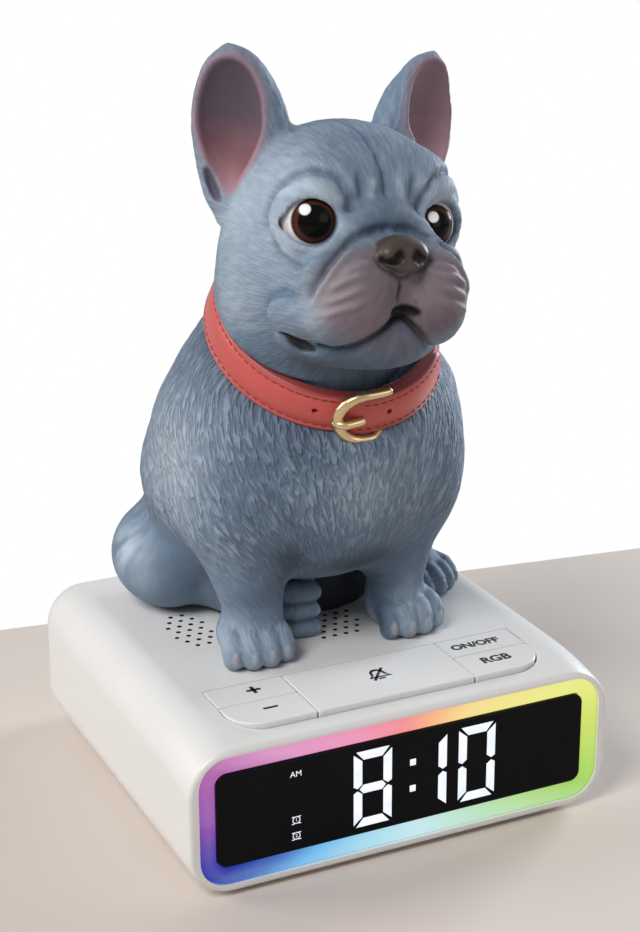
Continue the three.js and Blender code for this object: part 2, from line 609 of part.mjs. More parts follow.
function batteryCap() {
  const disc = solid(drum(0, BATTERY_Y, FOOT_LIFT, FOOT_LIFT + CAP_THICKNESS, CAP_RADIUS, 24));
  const wallInner = CELL_RADIUS + FIT_GAP;
  const wall = cut(
    solid(drum(0, BATTERY_Y, FOOT_LIFT + CAP_THICKNESS / 2, LUG_TOP, CAP_RADIUS, 24)),
    solid(drum(0, BATTERY_Y, FOOT_LIFT, LUG_TOP + 1, wallInner, 24)),
  );
  const lugPair = lugs(0, CAP_RADIUS + CAP_LUG, CAP_LUG_WIDTH, LUG_BOTTOM, LUG_TOP);
  const lugTrim = solid(drum(0, BATTERY_Y, LUG_BOTTOM - 1, LUG_TOP + 1, wallInner, 24));
  const [length, width, depth] = COIN_SLOT;
  const slotBlock = block(-length / 2, length / 2, -width / 2, width / 2, FOOT_LIFT - 1, FOOT_LIFT + depth);
  const slot = solid(slotBlock.translate(0, BATTERY_Y, 0));
  return geometryOf(cut(join(disc, wall, cut(lugPair, lugTrim)), slot));
}

piece("battery_cap", batteryCap(), CASE_WHITE);
piece("coin_cell", drum(0, BATTERY_Y, CELL_BOTTOM, CELL_TOP, CELL_RADIUS, 24), STEEL);
const [contactWidth, contactLength, contactThickness] = CONTACT;
const contact = block(
  -contactWidth / 2, contactWidth / 2, BATTERY_Y - contactLength / 2, BATTERY_Y + contactLength / 2,
  CONTACT_BOTTOM, CONTACT_BOTTOM + contactThickness,
);
piece("battery_contact", contact, STEEL);

const mainBoard = block(
  -MAIN_BOARD_WIDTH / 2, MAIN_BOARD_WIDTH / 2, FRONT + MAIN_BOARD_FRONT, BACK - MAIN_BOARD_REAR,
  MAIN_BOARD_HEIGHT, MAIN_BOARD_TOP,
);
piece("main_board", mainBoard, BOARD_GREEN);

// Stadium-shaped bar along Y that ends at a place on the back
function socketShell(width, height, depth, end) {
  const middle = MAIN_BOARD_TOP + SEAT_GAP + SOCKET_HEIGHT / 2;
  return frontPlate(width, height, middle, height / 2 - 0.01, end - depth, end, 4);
}

function powerSocket() {
  const end = BACK - FIT_GAP;
  const outer = solid(socketShell(SOCKET_WIDTH, SOCKET_HEIGHT, SOCKET_DEPTH, end));
  const innerWidth = SOCKET_WIDTH - 2 * SOCKET_WALL;
  const innerHeight = SOCKET_HEIGHT - 2 * SOCKET_WALL;
  const inner = solid(socketShell(innerWidth, innerHeight, SOCKET_DEPTH - SOCKET_WALL + 1, end + 1));
  const [width, height, length] = SOCKET_TONGUE;
  const middle = MAIN_BOARD_TOP + SEAT_GAP + SOCKET_HEIGHT / 2;
  const root = end - SOCKET_DEPTH;
  const tongue = block(-width / 2, width / 2, root, root + SOCKET_WALL + length, middle - height / 2, middle + height / 2);
  return geometryOf(join(cut(outer, inner), solid(tongue)));
}

piece("power_socket", powerSocket(), STEEL);

// Figure: soft forms that run into each other, given by their distance fields

const vector = ([x, y, z]) => new THREE.Vector3(x, y, z);

function ellipsoid(blend, at, size, yaw = 0) {
  const inverse = new THREE.Matrix4().makeRotationZ(radians(yaw)).setPosition(vector(at)).invert();
  const radii = vector(size);
  const squares = radii.clone().multiply(radii);
  const local = new THREE.Vector3();
  const scaled = new THREE.Vector3();
  const distance = (point) => {
    local.copy(point).applyMatrix4(inverse);
    const reach = scaled.copy(local).divide(radii).length();
    const slope = scaled.copy(local).divide(squares).length();
    return reach * (reach - 1) / Math.max(slope, 1e-6);
  };
  return { blend, distance };
}

// Tapered limb through joints of [x, y, z, radius]
function limb(blend, joints) {
  const bones = joints.slice(1).map((end, i) => {
    const line = new THREE.Line3(vector(joints[i]), vector(end));
    return { line, from: joints[i][3], to: end[3] };
  });
  const nearest = new THREE.Vector3();
  const distance = (point) => Math.min(...bones.map(({ line, from, to }) => {
    const along = line.closestPointToPointParameter(point, true);
    return line.at(along, nearest).distanceTo(point) - THREE.MathUtils.lerp(from, to, along);
  }));
  return { blend, distance };
}

function blended(shapes) {
  const softly = (a, b, k) => {
    const near = Math.max(k - Math.abs(a - b), 0) / k;
    return Math.min(a, b) - near * near * k / 4;
  };
  return (point) => shapes.reduce((sum, { blend, distance }) => softly(sum, distance(point), blend), Infinity);
}

// Corners of a cell and its edges, in the order of the surface tables
const CELL_CORNERS = [[0, 0, 0], [1, 0, 0], [1, 1, 0], [0, 1, 0], [0, 0, 1], [1, 0, 1], [1, 1, 1], [0, 1, 1]];
const CELL_EDGES = [[0, 1], [1, 2], [3, 2], [0, 3], [4, 5], [5, 6], [7, 6], [4, 7], [0, 4], [1, 5], [2, 6], [3, 7]];

// Closed surface where a field is zero, inside the box from low to high
function skin(field, low, high, cell) {
  const counts = low.map((value, axis) => Math.ceil((high[axis] - value) / cell) + 1);
  const indexOf = (i, j, k) => (k * counts[1] + j) * counts[0] + i;
  const placeOf = (i, j, k) => new THREE.Vector3(low[0] + i * cell, low[1] + j * cell, low[2] + k * cell);
  const values = new Float64Array(counts[0] * counts[1] * counts[2]);
  const leastValue = cell * 0.08;
  const eachNode = (limit, visit) => {
    for (let k = 0; k < counts[2] - limit; k += 1) {
      for (let j = 0; j < counts[1] - limit; j += 1) {
        for (let i = 0; i < counts[0] - limit; i += 1) visit(i, j, k);
      }
    }
  };
  eachNode(0, (i, j, k) => {
    const value = field(placeOf(i, j, k));
    values[indexOf(i, j, k)] = Math.abs(value) < leastValue ? Math.sign(value || 1) * leastValue : value;
  });
  const points = [];
  const faces = [];
  const made = new Map();
  const edgePoint = (from, to) => {
    const a = indexOf(...from);
    const b = indexOf(...to);
    const key = `${a}_${b}`;
    if (!made.has(key)) {
      made.set(key, points.length);
      points.push(placeOf(...from).lerp(placeOf(...to), values[a] / (values[a] - values[b])));
    }
    return made.get(key);
  };
  eachNode(1, (i, j, k) => {
    const corners = CELL_CORNERS.map(([x, y, z]) => [i + x, j + y, k + z]);
    const inside = corners.reduce((bits, corner, n) => bits | (values[indexOf(...corner)] < 0 ? 1 << n : 0), 0);
    if (edgeTable[inside] === 0) return;
    for (let n = inside * 16; triTable[n] !== -1; n += 1) {
      const [from, to] = CELL_EDGES[triTable[n]];
      faces.push(edgePoint(corners[from], corners[to]));
    }
  });
  settle(points, faces, field, cell);
  return surface(points, faces);
}

// Evens out the points along the surface and puts them back on it
function settle(points, faces, field, cell) {
  const neighbours = points.map(() => new Set());
  for (let i = 0; i < faces.length; i += 3) {
    for (let n = 0; n < 3; n += 1) {
      neighbours[faces[i + n]].add(faces[i + (n + 1) % 3]);
      neighbours[faces[i + (n + 1) % 3]].add(faces[i + n]);
    }
  }
  const axes = [new THREE.Vector3(1, 0, 0), new THREE.Vector3(0, 1, 0), new THREE.Vector3(0, 0, 1)];
  const step = cell / 10;
  const probe = new THREE.Vector3();
  const slopeAt = (point) => vector(axes.map((axis) => {
    const ahead = field(probe.copy(point).addScaledVector(axis, step));
    return (ahead - field(probe.copy(point).addScaledVector(axis, -step))) / (2 * step);
  }));
  for (let round = 0; round < 3; round += 1) {
    const middles = points.map((point, i) => {
      const sum = new THREE.Vector3();
      neighbours[i].forEach((other) => sum.add(points[other]));
      return sum.divideScalar(neighbours[i].size).lerp(point, 0.4);
    });
    points.forEach((point, i) => {
      point.copy(middles[i]);
      const slope = slopeAt(point);
      const away = THREE.MathUtils.clamp(field(point) / Math.max(slope.lengthSq(), 0.1), -cell, cell);
      point.addScaledVector(slope, -away);
    });
  }
}

const mirrored = (make) => [-1, 1].map(make);

// Frame of a paw: the middle of its sole, with the toes along its own -Y
const pawFrame = (x, y, yaw, scale) => new THREE.Matrix4()
  .makeRotationZ(radians(yaw)).scale(new THREE.Vector3(scale, scale, scale)).setPosition(x, y, 0);

const FORE_TURN = 4;
const SIDE_FOOT_TURN = 65; // the left hind foot lies on its side under the chest
const SIDE_FOOT_AT = [-9, -3.5, 7.4];
const OUTER_FOOT_AT = [34, 4];
const OUTER_FOOT_TURN = 30;
const sideFoot = new THREE.Matrix4().makeRotationZ(radians(SIDE_FOOT_TURN))
  .multiply(new THREE.Matrix4().makeRotationY(radians(-90)))
  .scale(new THREE.Vector3(HIND_PAW_SCALE, HIND_PAW_SCALE, HIND_PAW_SCALE))
  .setPosition(vector(SIDE_FOOT_AT));
const pawFrames = [
  pawFrame(...FORE_PAWS[0], -FORE_TURN, 1),
  pawFrame(...FORE_PAWS[1], FORE_TURN, 1),
  sideFoot,
  pawFrame(...OUTER_FOOT_AT, OUTER_FOOT_TURN, HIND_PAW_SCALE),
];

function toes(frame) {
  return TOES.map(([x, y, halfWidth]) => {
    const toe = new THREE.SphereGeometry(1, 7, 5).scale(halfWidth, TOE_LENGTH, TOE_HEIGHT);
    return solid(toe.rotateZ(radians(2 * x)).translate(x, y, TOE_LIFT).applyMatrix4(frame));
  });
}

const pawPads = pawFrames.map((frame) => {
  const turn = new THREE.Euler().setFromRotationMatrix(new THREE.Matrix4().extractRotation(frame), "ZYX");
  const scale = frame.getMaxScaleOnAxis();
  const [wide, long, tall] = PAW_SIZE.map((size) => size * scale);
  const lying = Math.abs(turn.y) > 1;
  const at = new THREE.Vector3(0, 1, PAW_SIZE[2] - 1).applyMatrix4(frame);
  return ellipsoid(4, at.toArray(), lying ? [tall, long, wide] : [wide, long, tall], THREE.MathUtils.radToDeg(turn.z));
});

const bodyField = blended([
  ellipsoid(1, [0.5, -5, 44.5], [33.5, 28.5, 28]), // chest
  ellipsoid(12, [1, 9, 41], [40.8, 29, 28]), // belly and back
  ellipsoid(12, [0, 24, 22], [33, 24, 24]), // rump
  ellipsoid(8, [0.8, 1, 57], [39.3, 26, 23]), // shoulder girdle
  ellipsoid(8, [0, 9, 65], [27, 20, 20.5]), // withers
  limb(12, [[0, -3, 64, 24.5], [0, -10, 90, 23]]), // neck
  limb(4, [[0, 0, 68, 22.5], [0, -5, 96, 21]]), // nape
  ...mirrored((side) => ellipsoid(8, [24 * side, -10, 43], [11, 14, 18])), // shoulders
  limb(5, [[-25, -12, 34, 11.2], [-22.8, -13.5, 22, 9.2], [-21.2, -13.5, 11, 7.2]]),
  limb(5, [[20, -12, 34, 10.2], [19, -12.5, 22, 8.8], [18.2, -12.5, 11, 7]]),
  ellipsoid(4, [...HAUNCHES[0], 13.5], [15, 18, 14], -15),
  ellipsoid(4, [...HAUNCHES[1], 16], [15, 19, 16], 15),
  limb(4, [[-18, 16, 8, 8], [-12, -1, 7, 6.5]]),
  limb(4, [[28, 14, 8, 8], [32, 7, 7, 6.5]]),
  ...pawPads,
]);

// The head is modelled upright, and its group rolls it about the pivot
const headField = blended([
  ellipsoid(1, [0, -14, 107], [23.9, 25, 21.8]), // skull
  ellipsoid(8, [0, -23, 116.6], [20, 17, 13.2]), // forehead
  ellipsoid(8, [0, -14, 90], [23.2, 22, 18]), // jaw and throat
  limb(8, [[0, -6, 70, 23.5], [0, -10, 90, 23]]), // neck
  limb(4, [[0, 0, 68, 22.5], [0, -5, 96, 21]]), // nape
  ellipsoid(5, [0, -36, 100.5], [18, 12.5, 12.5]), // muzzle
  ...mirrored((side) => ellipsoid(8, [15.2 * side, -20, 100], [10, 16, 14])), // cheeks
  ...mirrored((side) => ellipsoid(6, [11.6 * side, -32.5, 120], [7.8, 7.5, 5], 12 * side)), // brows
  ...mirrored((side) => ellipsoid(3, [14.5 * side, -30.5, 111.4], [8.8, 7.5, 9])), // round the eyes
  ...mirrored((side) => ellipsoid(3, [9 * side, -42, 96.5], [10.6, 10.5, 11.5], -10 * side)), // hanging lips
  ...mirrored((side) => limb(3, [[12.5 * side, -42, 92.5, 8], [17.5 * side, -35, 89.8, 5.8]])), // their rear ends
  ellipsoid(2, [0, -31.5, 84], [18.5, 15.5, 6.8]), // lower jaw
  ellipsoid(2, [0.4, -42, 86.6], [10, 7.2, 6.6]), // chin
]);

const headRoll = new THREE.Group();
headRoll.position.copy(vector(HEAD_PIVOT));
headRoll.rotation.y = radians(HEAD_ROLL);
const head = new THREE.Group();
head.position.copy(vector(HEAD_PIVOT)).negate();
headRoll.add(head);
figure.add(headRoll);

const collar = new THREE.Group();
collar.position.copy(vector(COLLAR_AT));
collar.rotation.set(radians(COLLAR_TILT), radians(COLLAR_ROLL), 0, "ZYX");
figure.add(collar);
group.updateMatrixWorld(true);

const toFigure = (object) => figure.matrixWorld.clone().invert().multiply(object.matrixWorld);
const collarToFigure = toFigure(collar);
const collarToHead = head.matrixWorld.clone().invert().multiply(collar.matrixWorld);

// Strap of the collar, grown by a gap where it is used to cut its seat
function strapRings(grow) {
  const halfThickness = STRAP_THICKNESS / 2 + grow;
  const halfWidth = STRAP_WIDTH / 2 + grow;
  const edge = halfThickness * 0.6;
  const section = [
    [-halfThickness, -halfWidth + edge], [-halfThickness + edge, -halfWidth], [halfThickness - edge, -halfWidth],
    [halfThickness, -halfWidth + edge], [halfThickness, halfWidth - edge], [halfThickness - edge, halfWidth],
    [-halfThickness + edge, halfWidth], [-halfThickness, halfWidth - edge],
  ];
  const steps = 30;
  const rings = [];
  for (let i = 0; i < steps; i += 1) {
    const angle = i / steps * 2 * Math.PI;
    rings.push(section.map(([out, up]) => {
      const leaning = out - STRAP_FLARE * up / STRAP_WIDTH;
      return new THREE.Vector3((COLLAR_RADII[0] + leaning) * Math.cos(angle), (COLLAR_RADII[1] + leaning) * Math.sin(angle), up);
    }));
  }
  return rings;
}

// The buckle leans with the strap that it lies on
const buckleLean = -Math.atan(STRAP_FLARE / STRAP_WIDTH);
const buckleRise = STRAP_THICKNESS / 2 + FIT_GAP + BUCKLE_WIRE; // from the middle of the strap to the middle of its wire
const buckleToCollar = new THREE.Matrix4().makeRotationX(buckleLean).setPosition(BUCKLE_X, -COLLAR_RADII[1], 0);

// Room in front of the strap for the buckle
function buckleSpace() {
  const halfWidth = BUCKLE_WIDTH / 2 + FIT_GAP;
  const halfHeight = BUCKLE_HEIGHT / 2 + FIT_GAP;
  const rear = -buckleRise + BUCKLE_WIRE + FIT_GAP;
  const room = block(-halfWidth, halfWidth, rear - BUCKLE_HEIGHT, rear, -halfHeight, halfHeight);
  return room.applyMatrix4(buckleToCollar);
}

// Half of the space on one side of the collar's middle, and the plug between body and head
const REACH = 200;
const aboveCollar = (gap) => block(-REACH, REACH, -REACH, REACH, gap, 2 * REACH);
const belowCollar = (gap) => block(-REACH, REACH, -REACH, REACH, -2 * REACH, -gap);
const spigot = (grow) => drum(0, 0, -SPIGOT_HEIGHT, SPIGOT_HEIGHT + grow, SPIGOT_RADIUS + grow, 20);

function figureBody() {
  const main = solid(skin(bodyField, [-52, -44, -12], [56, 56, 128], BODY_CELL));
  const toeSolids = pawFrames.flatMap(toes);
  const neckPlug = solid(spigot(0).applyMatrix4(collarToFigure));
  const below = solid(block(-REACH, REACH, -REACH, REACH, -REACH, SEAT_GAP));
  const above = solid(aboveCollar(-FIT_GAP / 2).applyMatrix4(collarToFigure));
  const strap = solid(loft(strapRings(FIT_GAP), true).applyMatrix4(collarToFigure));
  const screwHoles = FIGURE_SCREWS.map(([x, y]) => {
    return solid(drum(x, y, -1, FIGURE_SCREW_LENGTH + FIT_GAP, SCREW_RADIUS + FIT_GAP, 8));
  });
  const buckleRoom = solid(buckleSpace().applyMatrix4(collarToFigure));
  const trunk = cut(join(main, ...toeSolids), below, above, strap, buckleRoom);
  return geometryOf(cut(join(trunk, neckPlug), ...screwHoles));
}

piece("figure_body", figureBody(), FUR_BLUE, figure);

FIGURE_SCREWS.forEach(([x, y], index) => {
  const headTop = TOP_INSIDE - SEAT_GAP;
  const tip = CASE_TOP + FIGURE_SCREW_LENGTH;
  piece(`figure_screw_${index + 1}`, screw(x, y, tip, headTop, FIGURE_SCREW_HEAD, true), STEEL);
});

// Flattened tapering ear, and the hollow in front of it, as lofts along the ear
function earRings(profile, flatness, set, sides) {
  return profile.map(([z, radius]) => {
    const ring = [];
    for (let i = 0; i < sides; i += 1) {
      const angle = i / sides * 2 * Math.PI;
      ring.push(new THREE.Vector3(radius * Math.cos(angle), set + radius / flatness * Math.sin(angle), z));
    }
    return ring;
  });
}

const EAR_OUTSIDE = [[-10, 8.6], [-4, 10.8], [4, 11.5], [12, 11.3], [18, 10], [22, 8.4], [25.5, 6.4], [28, 4.4], [30, 1.2]];
const EAR_HOLLOW = [[-6, 4], [-2, 8.2], [5, 9.8], [12, 9.8], [18, 8.5], [22, 6.7], [25, 4.8], [27.5, 1]];
const EAR_HOLLOW_FLATNESS = 1.15;
const EAR_HOLLOW_SET = -7; // the hollow's middle lies this far in front of the ear's

function earSolid(side, profile, flatness, set, sides) {
  const [x, y, z] = EAR_AT;
  const frame = new THREE.Matrix4()
    .makeRotationFromEuler(new THREE.Euler(0, radians(EAR_LEANS[side < 0 ? 0 : 1] * side), radians(EAR_TURN * side), "ZYX"))
    .setPosition(x * side, y, z);
  return solid(loft(earRings(profile, flatness, set, sides)).applyMatrix4(frame));
}

function figureHead() {
  const main = solid(skin(headField, [-38, -62, 40], [38, 24, 140], HEAD_CELL));
  const ears = mirrored((side) => cut(
    earSolid(side, EAR_OUTSIDE, EAR_FLATNESS, 0, 14),
    earSolid(side, EAR_HOLLOW, EAR_HOLLOW_FLATNESS, EAR_HOLLOW_SET, 12),
  ));
  const nose = solid(new THREE.SphereGeometry(1, 12, 8).scale(...NOSE_SIZE).translate(...NOSE_AT));
  const nostrils = mirrored((side) => {
    const [x, y, z] = NOSE_AT;
    const hole = new THREE.SphereGeometry(NOSTRIL_RADIUS, 6, 5);
    return solid(hole.translate(x + NOSTRIL_X * side, y - NOSE_SIZE[1] * 0.8, z - NOSTRIL_RADIUS / 2));
  });
  const sockets = mirrored((side) => {
    const [x, y, z] = EYE_AT;
    return solid(new THREE.SphereGeometry(EYE_RADIUS + FIT_GAP, 12, 9).translate(x * side, y, z));
  });
  const below = solid(belowCollar(-FIT_GAP / 2).applyMatrix4(collarToHead));
  const strap = solid(loft(strapRings(FIT_GAP), true).applyMatrix4(collarToHead));
  const neckSocket = solid(spigot(FIT_GAP).applyMatrix4(collarToHead));
  const buckleRoom = solid(buckleSpace().applyMatrix4(collarToHead));
  const whole = join(main, ...ears, nose);
  return geometryOf(cut(whole, ...nostrils, ...sockets, below, strap, neckSocket, buckleRoom));
}

piece("figure_head", figureHead(), FUR_BLUE, head);

for (const [name, side] of [["eye_left", -1], ["eye_right", 1]]) {
  const eye = piece(name, new THREE.SphereGeometry(EYE_RADIUS, 12, 9), EYE_GLOSS, head);
  eye.position.set(EYE_AT[0] * side, EYE_AT[1], EYE_AT[2]);
}

// Collar with its buckle

piece("collar_strap", loft(strapRings(0), true), LEATHER_RED, collar);

// Wire through points in a plane across Y, round in section
function wire(points, radius, sides) {
  const rings = points.map((point, i) => {
    const before = points[Math.max(i - 1, 0)];
    const after = points[Math.min(i + 1, points.length - 1)];
    const along = after.clone().sub(before).normalize();
    const across = new THREE.Vector3(0, 1, 0);
    const up = along.clone().cross(across).normalize();
    const ring = [];
    for (let k = 0; k < sides; k += 1) {
      const angle = k / sides * 2 * Math.PI;
      ring.push(point.clone().addScaledVector(across, radius * Math.cos(angle)).addScaledVector(up, radius * Math.sin(angle)));
    }
    return ring;
  });
  return loft(rings);
}

// Horseshoe whose round end lies across the strap
function buckleFrame() {
  const halfHeight = BUCKLE_HEIGHT / 2 - BUCKLE_WIRE;
  const end = BUCKLE_WIDTH / 2;
  const round = -end + BUCKLE_WIRE + halfHeight;
  const bend = new THREE.Path();
  bend.moveTo(end, halfHeight);
  bend.lineTo(round, halfHeight);
  bend.absarc(round, 0, halfHeight, Math.PI / 2, Math.PI * 1.5);
  bend.lineTo(end, -halfHeight);
  const points = bend.getPoints(9).map(({ x, y }) => new THREE.Vector3(x, 0, y));
  const apart = points.filter((point, i) => i === 0 || point.distanceTo(points[i - 1]) > 0.01);
  return wire(apart, BUCKLE_WIRE, 6);
}

const buckle = piece("buckle_frame", buckleFrame(), BRASS, collar);
buckle.position.set(0, -buckleRise, 0).applyMatrix4(buckleToCollar);
buckle.rotation.x = buckleLean;

function buckleProng() {
  const length = BUCKLE_WIDTH + PRONG_WIRE;
  const geometry = new THREE.CapsuleGeometry(PRONG_WIRE, length - 2 * PRONG_WIRE, 4, 8);
  return geometry.rotateZ(Math.PI / 2);
}

const prong = piece("buckle_prong", buckleProng(), BRASS, collar);
prong.position.set(0, -buckleRise - BUCKLE_WIRE - PRONG_WIRE - FIT_GAP / 2, 0).applyMatrix4(buckleToCollar);
prong.rotation.x = buckleLean;

export default group;
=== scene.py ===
"""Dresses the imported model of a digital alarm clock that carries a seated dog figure.

Sizes are in millimetres in the clock's own frame: +Z is up, the display looks along -Y, and the origin is on the
table under the middle of the case. Pieces are made in metres.
"""
import logging
import math
from dataclasses import dataclass, field
from enum import Enum
from functools import reduce
from typing import Callable, Iterable, Optional, Protocol, Sequence

import bmesh
import bpy
import numpy as np
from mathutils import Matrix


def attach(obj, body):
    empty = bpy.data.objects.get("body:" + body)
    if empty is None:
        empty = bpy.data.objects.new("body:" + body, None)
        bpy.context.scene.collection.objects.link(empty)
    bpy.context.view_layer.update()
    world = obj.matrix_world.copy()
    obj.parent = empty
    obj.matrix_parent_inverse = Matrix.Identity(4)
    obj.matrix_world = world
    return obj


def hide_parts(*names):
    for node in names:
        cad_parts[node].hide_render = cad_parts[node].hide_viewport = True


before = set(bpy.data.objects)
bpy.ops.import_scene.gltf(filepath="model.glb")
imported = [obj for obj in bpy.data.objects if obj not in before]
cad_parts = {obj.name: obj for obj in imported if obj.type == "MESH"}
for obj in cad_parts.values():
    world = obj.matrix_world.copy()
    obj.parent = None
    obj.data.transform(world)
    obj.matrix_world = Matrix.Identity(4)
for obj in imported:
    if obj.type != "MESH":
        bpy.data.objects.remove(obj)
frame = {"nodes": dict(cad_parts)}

import openvdb
from mathutils import Euler, Matrix, Vector

log = logging.getLogger("alarm_clock")

MM = 0.001
CASE_TOP = 40.2
WHITE = (1.0, 1.0, 1.0)
BLACK = (0.0, 0.0, 0.0)
Point = Sequence[float]
Pair = tuple[float, float]
Triple = tuple[float, float, float]
Array = np.ndarray
Field = Callable[[Array], Array]
Object = bpy.types.Object
Material = bpy.types.Material
Node = bpy.types.Node
NodeTree = bpy.types.NodeTree
Socket = bpy.types.NodeSocket


class Body(Enum):
    """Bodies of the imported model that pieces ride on."""

    BASE = "base"
    PLUS = "plus"
    MINUS = "minus"
    SNOOZE = "snooze"
    POWER = "power"
    RGB = "rgb"


KEYS = (Body.PLUS, Body.MINUS, Body.SNOOZE, Body.POWER, Body.RGB)


class Slot(Enum):
    """Material slots of the record."""

    CASE = "case_white"
    KEY = "key_white"
    RIM = "light_rim"
    WINDOW = "window_black"
    BLACK = "black_plastic"
    STEEL = "steel"
    RUBBER = "foot_rubber"
    FUR = "figure_paint"
    EYE = "eye_gloss"
    COLLAR = "collar_red"
    BRASS = "buckle_brass"


# Mesh helpers


def add_object(name: str, data: Optional[bpy.types.ID]) -> Object:
    """Links an object with given data to the scene."""
    obj = bpy.data.objects.new(name, data)
    bpy.context.scene.collection.objects.link(obj)
    return obj


def new_object(name: str, points: Array, faces: Sequence[Sequence[int]]) -> Object:
    """Makes a smooth-shaded mesh object.

    Args:
        name: Name of the piece.
        points: Vertex places in millimetres, one row each.
        faces: Vertex indices of each face.

    Returns:
        The new object, linked to the scene.
    """
    mesh = bpy.data.meshes.new(name)
    mesh.from_pydata((np.asarray(points, float) * MM).tolist(), [], [list(map(int, face)) for face in faces])
    mesh.update()
    mesh.shade_smooth()
    return add_object(name, mesh)


def point_outwards(obj: Object) -> Object:
    """Turns every face of a closed mesh outwards."""
    shape = bmesh.new()
    shape.from_mesh(obj.data)
    bmesh.ops.recalc_face_normals(shape, faces=shape.faces)
    shape.to_mesh(obj.data)
    shape.free()
    return obj


def loft(name: str, rings: Sequence[Array], closed: bool = False) -> Object:
    """Joins rings of equally many points into a closed surface.

    Args:
        name: Name of the piece.
        rings: Point rows of each ring in millimetres.
        closed: Whether the last ring joins the first, or both ends get a cap.

    Returns:
        The lofted object.
    """
    count = len(rings[0])
    points = np.concatenate([np.asarray(ring, float) for ring in rings])
    faces = []
    spans = len(rings) if closed else len(rings) - 1
    for i in range(spans):
        here, after = i * count, (i + 1) % len(rings) * count
        for j in range(count):
            k = (j + 1) % count
            faces.append((here + j, here + k, after + k, after + j))
    if not closed:
        faces.append(tuple(range(count)))
        faces.append(tuple(range(len(points) - count, len(points))))
    return point_outwards(new_object(name, points, faces))


def lying(outline: Array, z: float) -> Array:
    """Lays an outline of x and y at a height."""
    return np.column_stack([outline, np.full(len(outline), z)])


def standing(outline: Array, y: float) -> Array:
    """Stands an outline of x and z at a place along Y."""
    return np.column_stack([outline[:, 0], np.full(len(outline), y), outline[:, 1]])


def extrude_up(name: str, outline: Array, low: float, high: float) -> Object:
    """Makes an upright prism from an outline of x and y."""
    return loft(name, [lying(outline, low), lying(outline, high)])


def extrude_back(name: str, outline: Array, front: float, back: float) -> Object:
    """Makes a plate that stands in the front from an outline of x and z."""
    return loft(name, [standing(outline, front), standing(outline, back)])


def circle(steps: int) -> Array:
    """Gives evenly spaced points of a circle with radius 1."""
    angles = np.linspace(0, 2 * math.pi, steps, endpoint=False)
    return np.column_stack([np.cos(angles), np.sin(angles)])


def cylinder(name: str, radius: float, low: float, high: float, at: Point, steps: int) -> Object:
    """Makes an upright cylinder."""
    return revolve(name, [(0, low), (radius, low), (radius, high), (0, high)], at, steps)


def revolve(name: str, profile: Sequence[Point], at: Point, steps: int = 48) -> Object:
    """Turns a profile of radius and height about an upright axis.

    Args:
        name: Name of the piece.
        profile: Radius and height of each point, both ends near the axis.
        at: Foot of the axis in millimetres.
        steps: Points round the axis.

    Returns:
        The turned object.
    """
    least = 0.01
    rings = [lying(max(radius, least) * circle(steps), height) for radius, height in profile]
    return loft(name, [ring + np.asarray(at, float) for ring in rings])


def directions(line: Array) -> Array:
    """Gives the direction of a line at each of its points."""
    ahead = np.gradient(line, axis=0)
    return ahead / np.linalg.norm(ahead, axis=1)[:, None]


def sweep(name: str, line: Array, radii: Array, sides: int) -> Object:
    """Draws a round bar along a line that stays near the XZ plane.

    Args:
        name: Name of the piece.
        line: Points of the centre line in millimetres.
        radii: Radius at each point.
        sides: Points round the bar.

    Returns:
        The bar, with rounded-off ends.
    """
    rings = []
    for point, way, radius in zip(line, directions(line), radii):
        up = np.cross(way, (0.0, 1.0, 0.0))
        up /= np.linalg.norm(up)
        rings.append(point + radius * circle(sides) @ np.array([up, np.cross(up, way)]))
    return loft(name, rings)


def rounded_outline(x0: float, x1: float, y0: float, y1: float, radii: Point, steps: int = 10) -> Array:
    """Gives the points of a rectangle with rounded corners.

    Args:
        x0: Low side.
        x1: High side.
        y0: Low end.
        y1: High end.
        radii: Corner radii from the low corner, anticlockwise.
        steps: Spans in each rounded corner.

    Returns:
        Rows of two coordinates.
    """
    corners = ((x0, y0, 1, 1, 180), (x1, y0, -1, 1, 270), (x1, y1, -1, -1, 0), (x0, y1, 1, -1, 90))
    points = []
    for (x, y, sx, sy, start), radius in zip(corners, radii):
        if radius <= 0:
            points.append((x, y))
            continue
        for i in range(steps + 1):
            angle = math.radians(start + 90 * i / steps)
            points.append((x + sx * radius + radius * math.cos(angle), y + sy * radius + radius * math.sin(angle)))
    return np.array(points)


def apply_modifiers(obj: Object) -> Object:
    """Keeps what an object's modifiers give as its own mesh."""
    graph = bpy.context.evaluated_depsgraph_get()
    mesh = bpy.data.meshes.new_from_object(obj.evaluated_get(graph))
    obj.modifiers.clear()
    obj.data = mesh
    return obj


def cut_away(obj: Object, cutters: Iterable[Object]) -> Object:
    """Cuts solids out of an object and deletes them.

    Args:
        obj: Closed object to cut.
        cutters: Closed objects to take away, one after the other.

    Returns:
        The cut object.
    """
    for cutter in cutters:
        cutting = obj.modifiers.new("cut", "BOOLEAN")
        cutting.operation = "DIFFERENCE"
        cutting.solver = "MANIFOLD"
        cutting.object = cutter
        apply_modifiers(obj)
        bpy.data.objects.remove(cutter)
    return obj


def joined(name: str, parts: Sequence[Object]) -> Object:
    """Joins objects into one.

    Args:
        name: Name of the joined piece.
        parts: Objects to join, which are used up.

    Returns:
        The joined object.
    """
    shape = bmesh.new()
    for part in parts:
        mesh = part.data.copy()
        mesh.transform(part.matrix_world)
        shape.from_mesh(mesh)
        bpy.data.meshes.remove(mesh)
        bpy.data.objects.remove(part)
    mesh = bpy.data.meshes.new(name)
    shape.to_mesh(mesh)
    shape.free()
    return add_object(name, mesh)


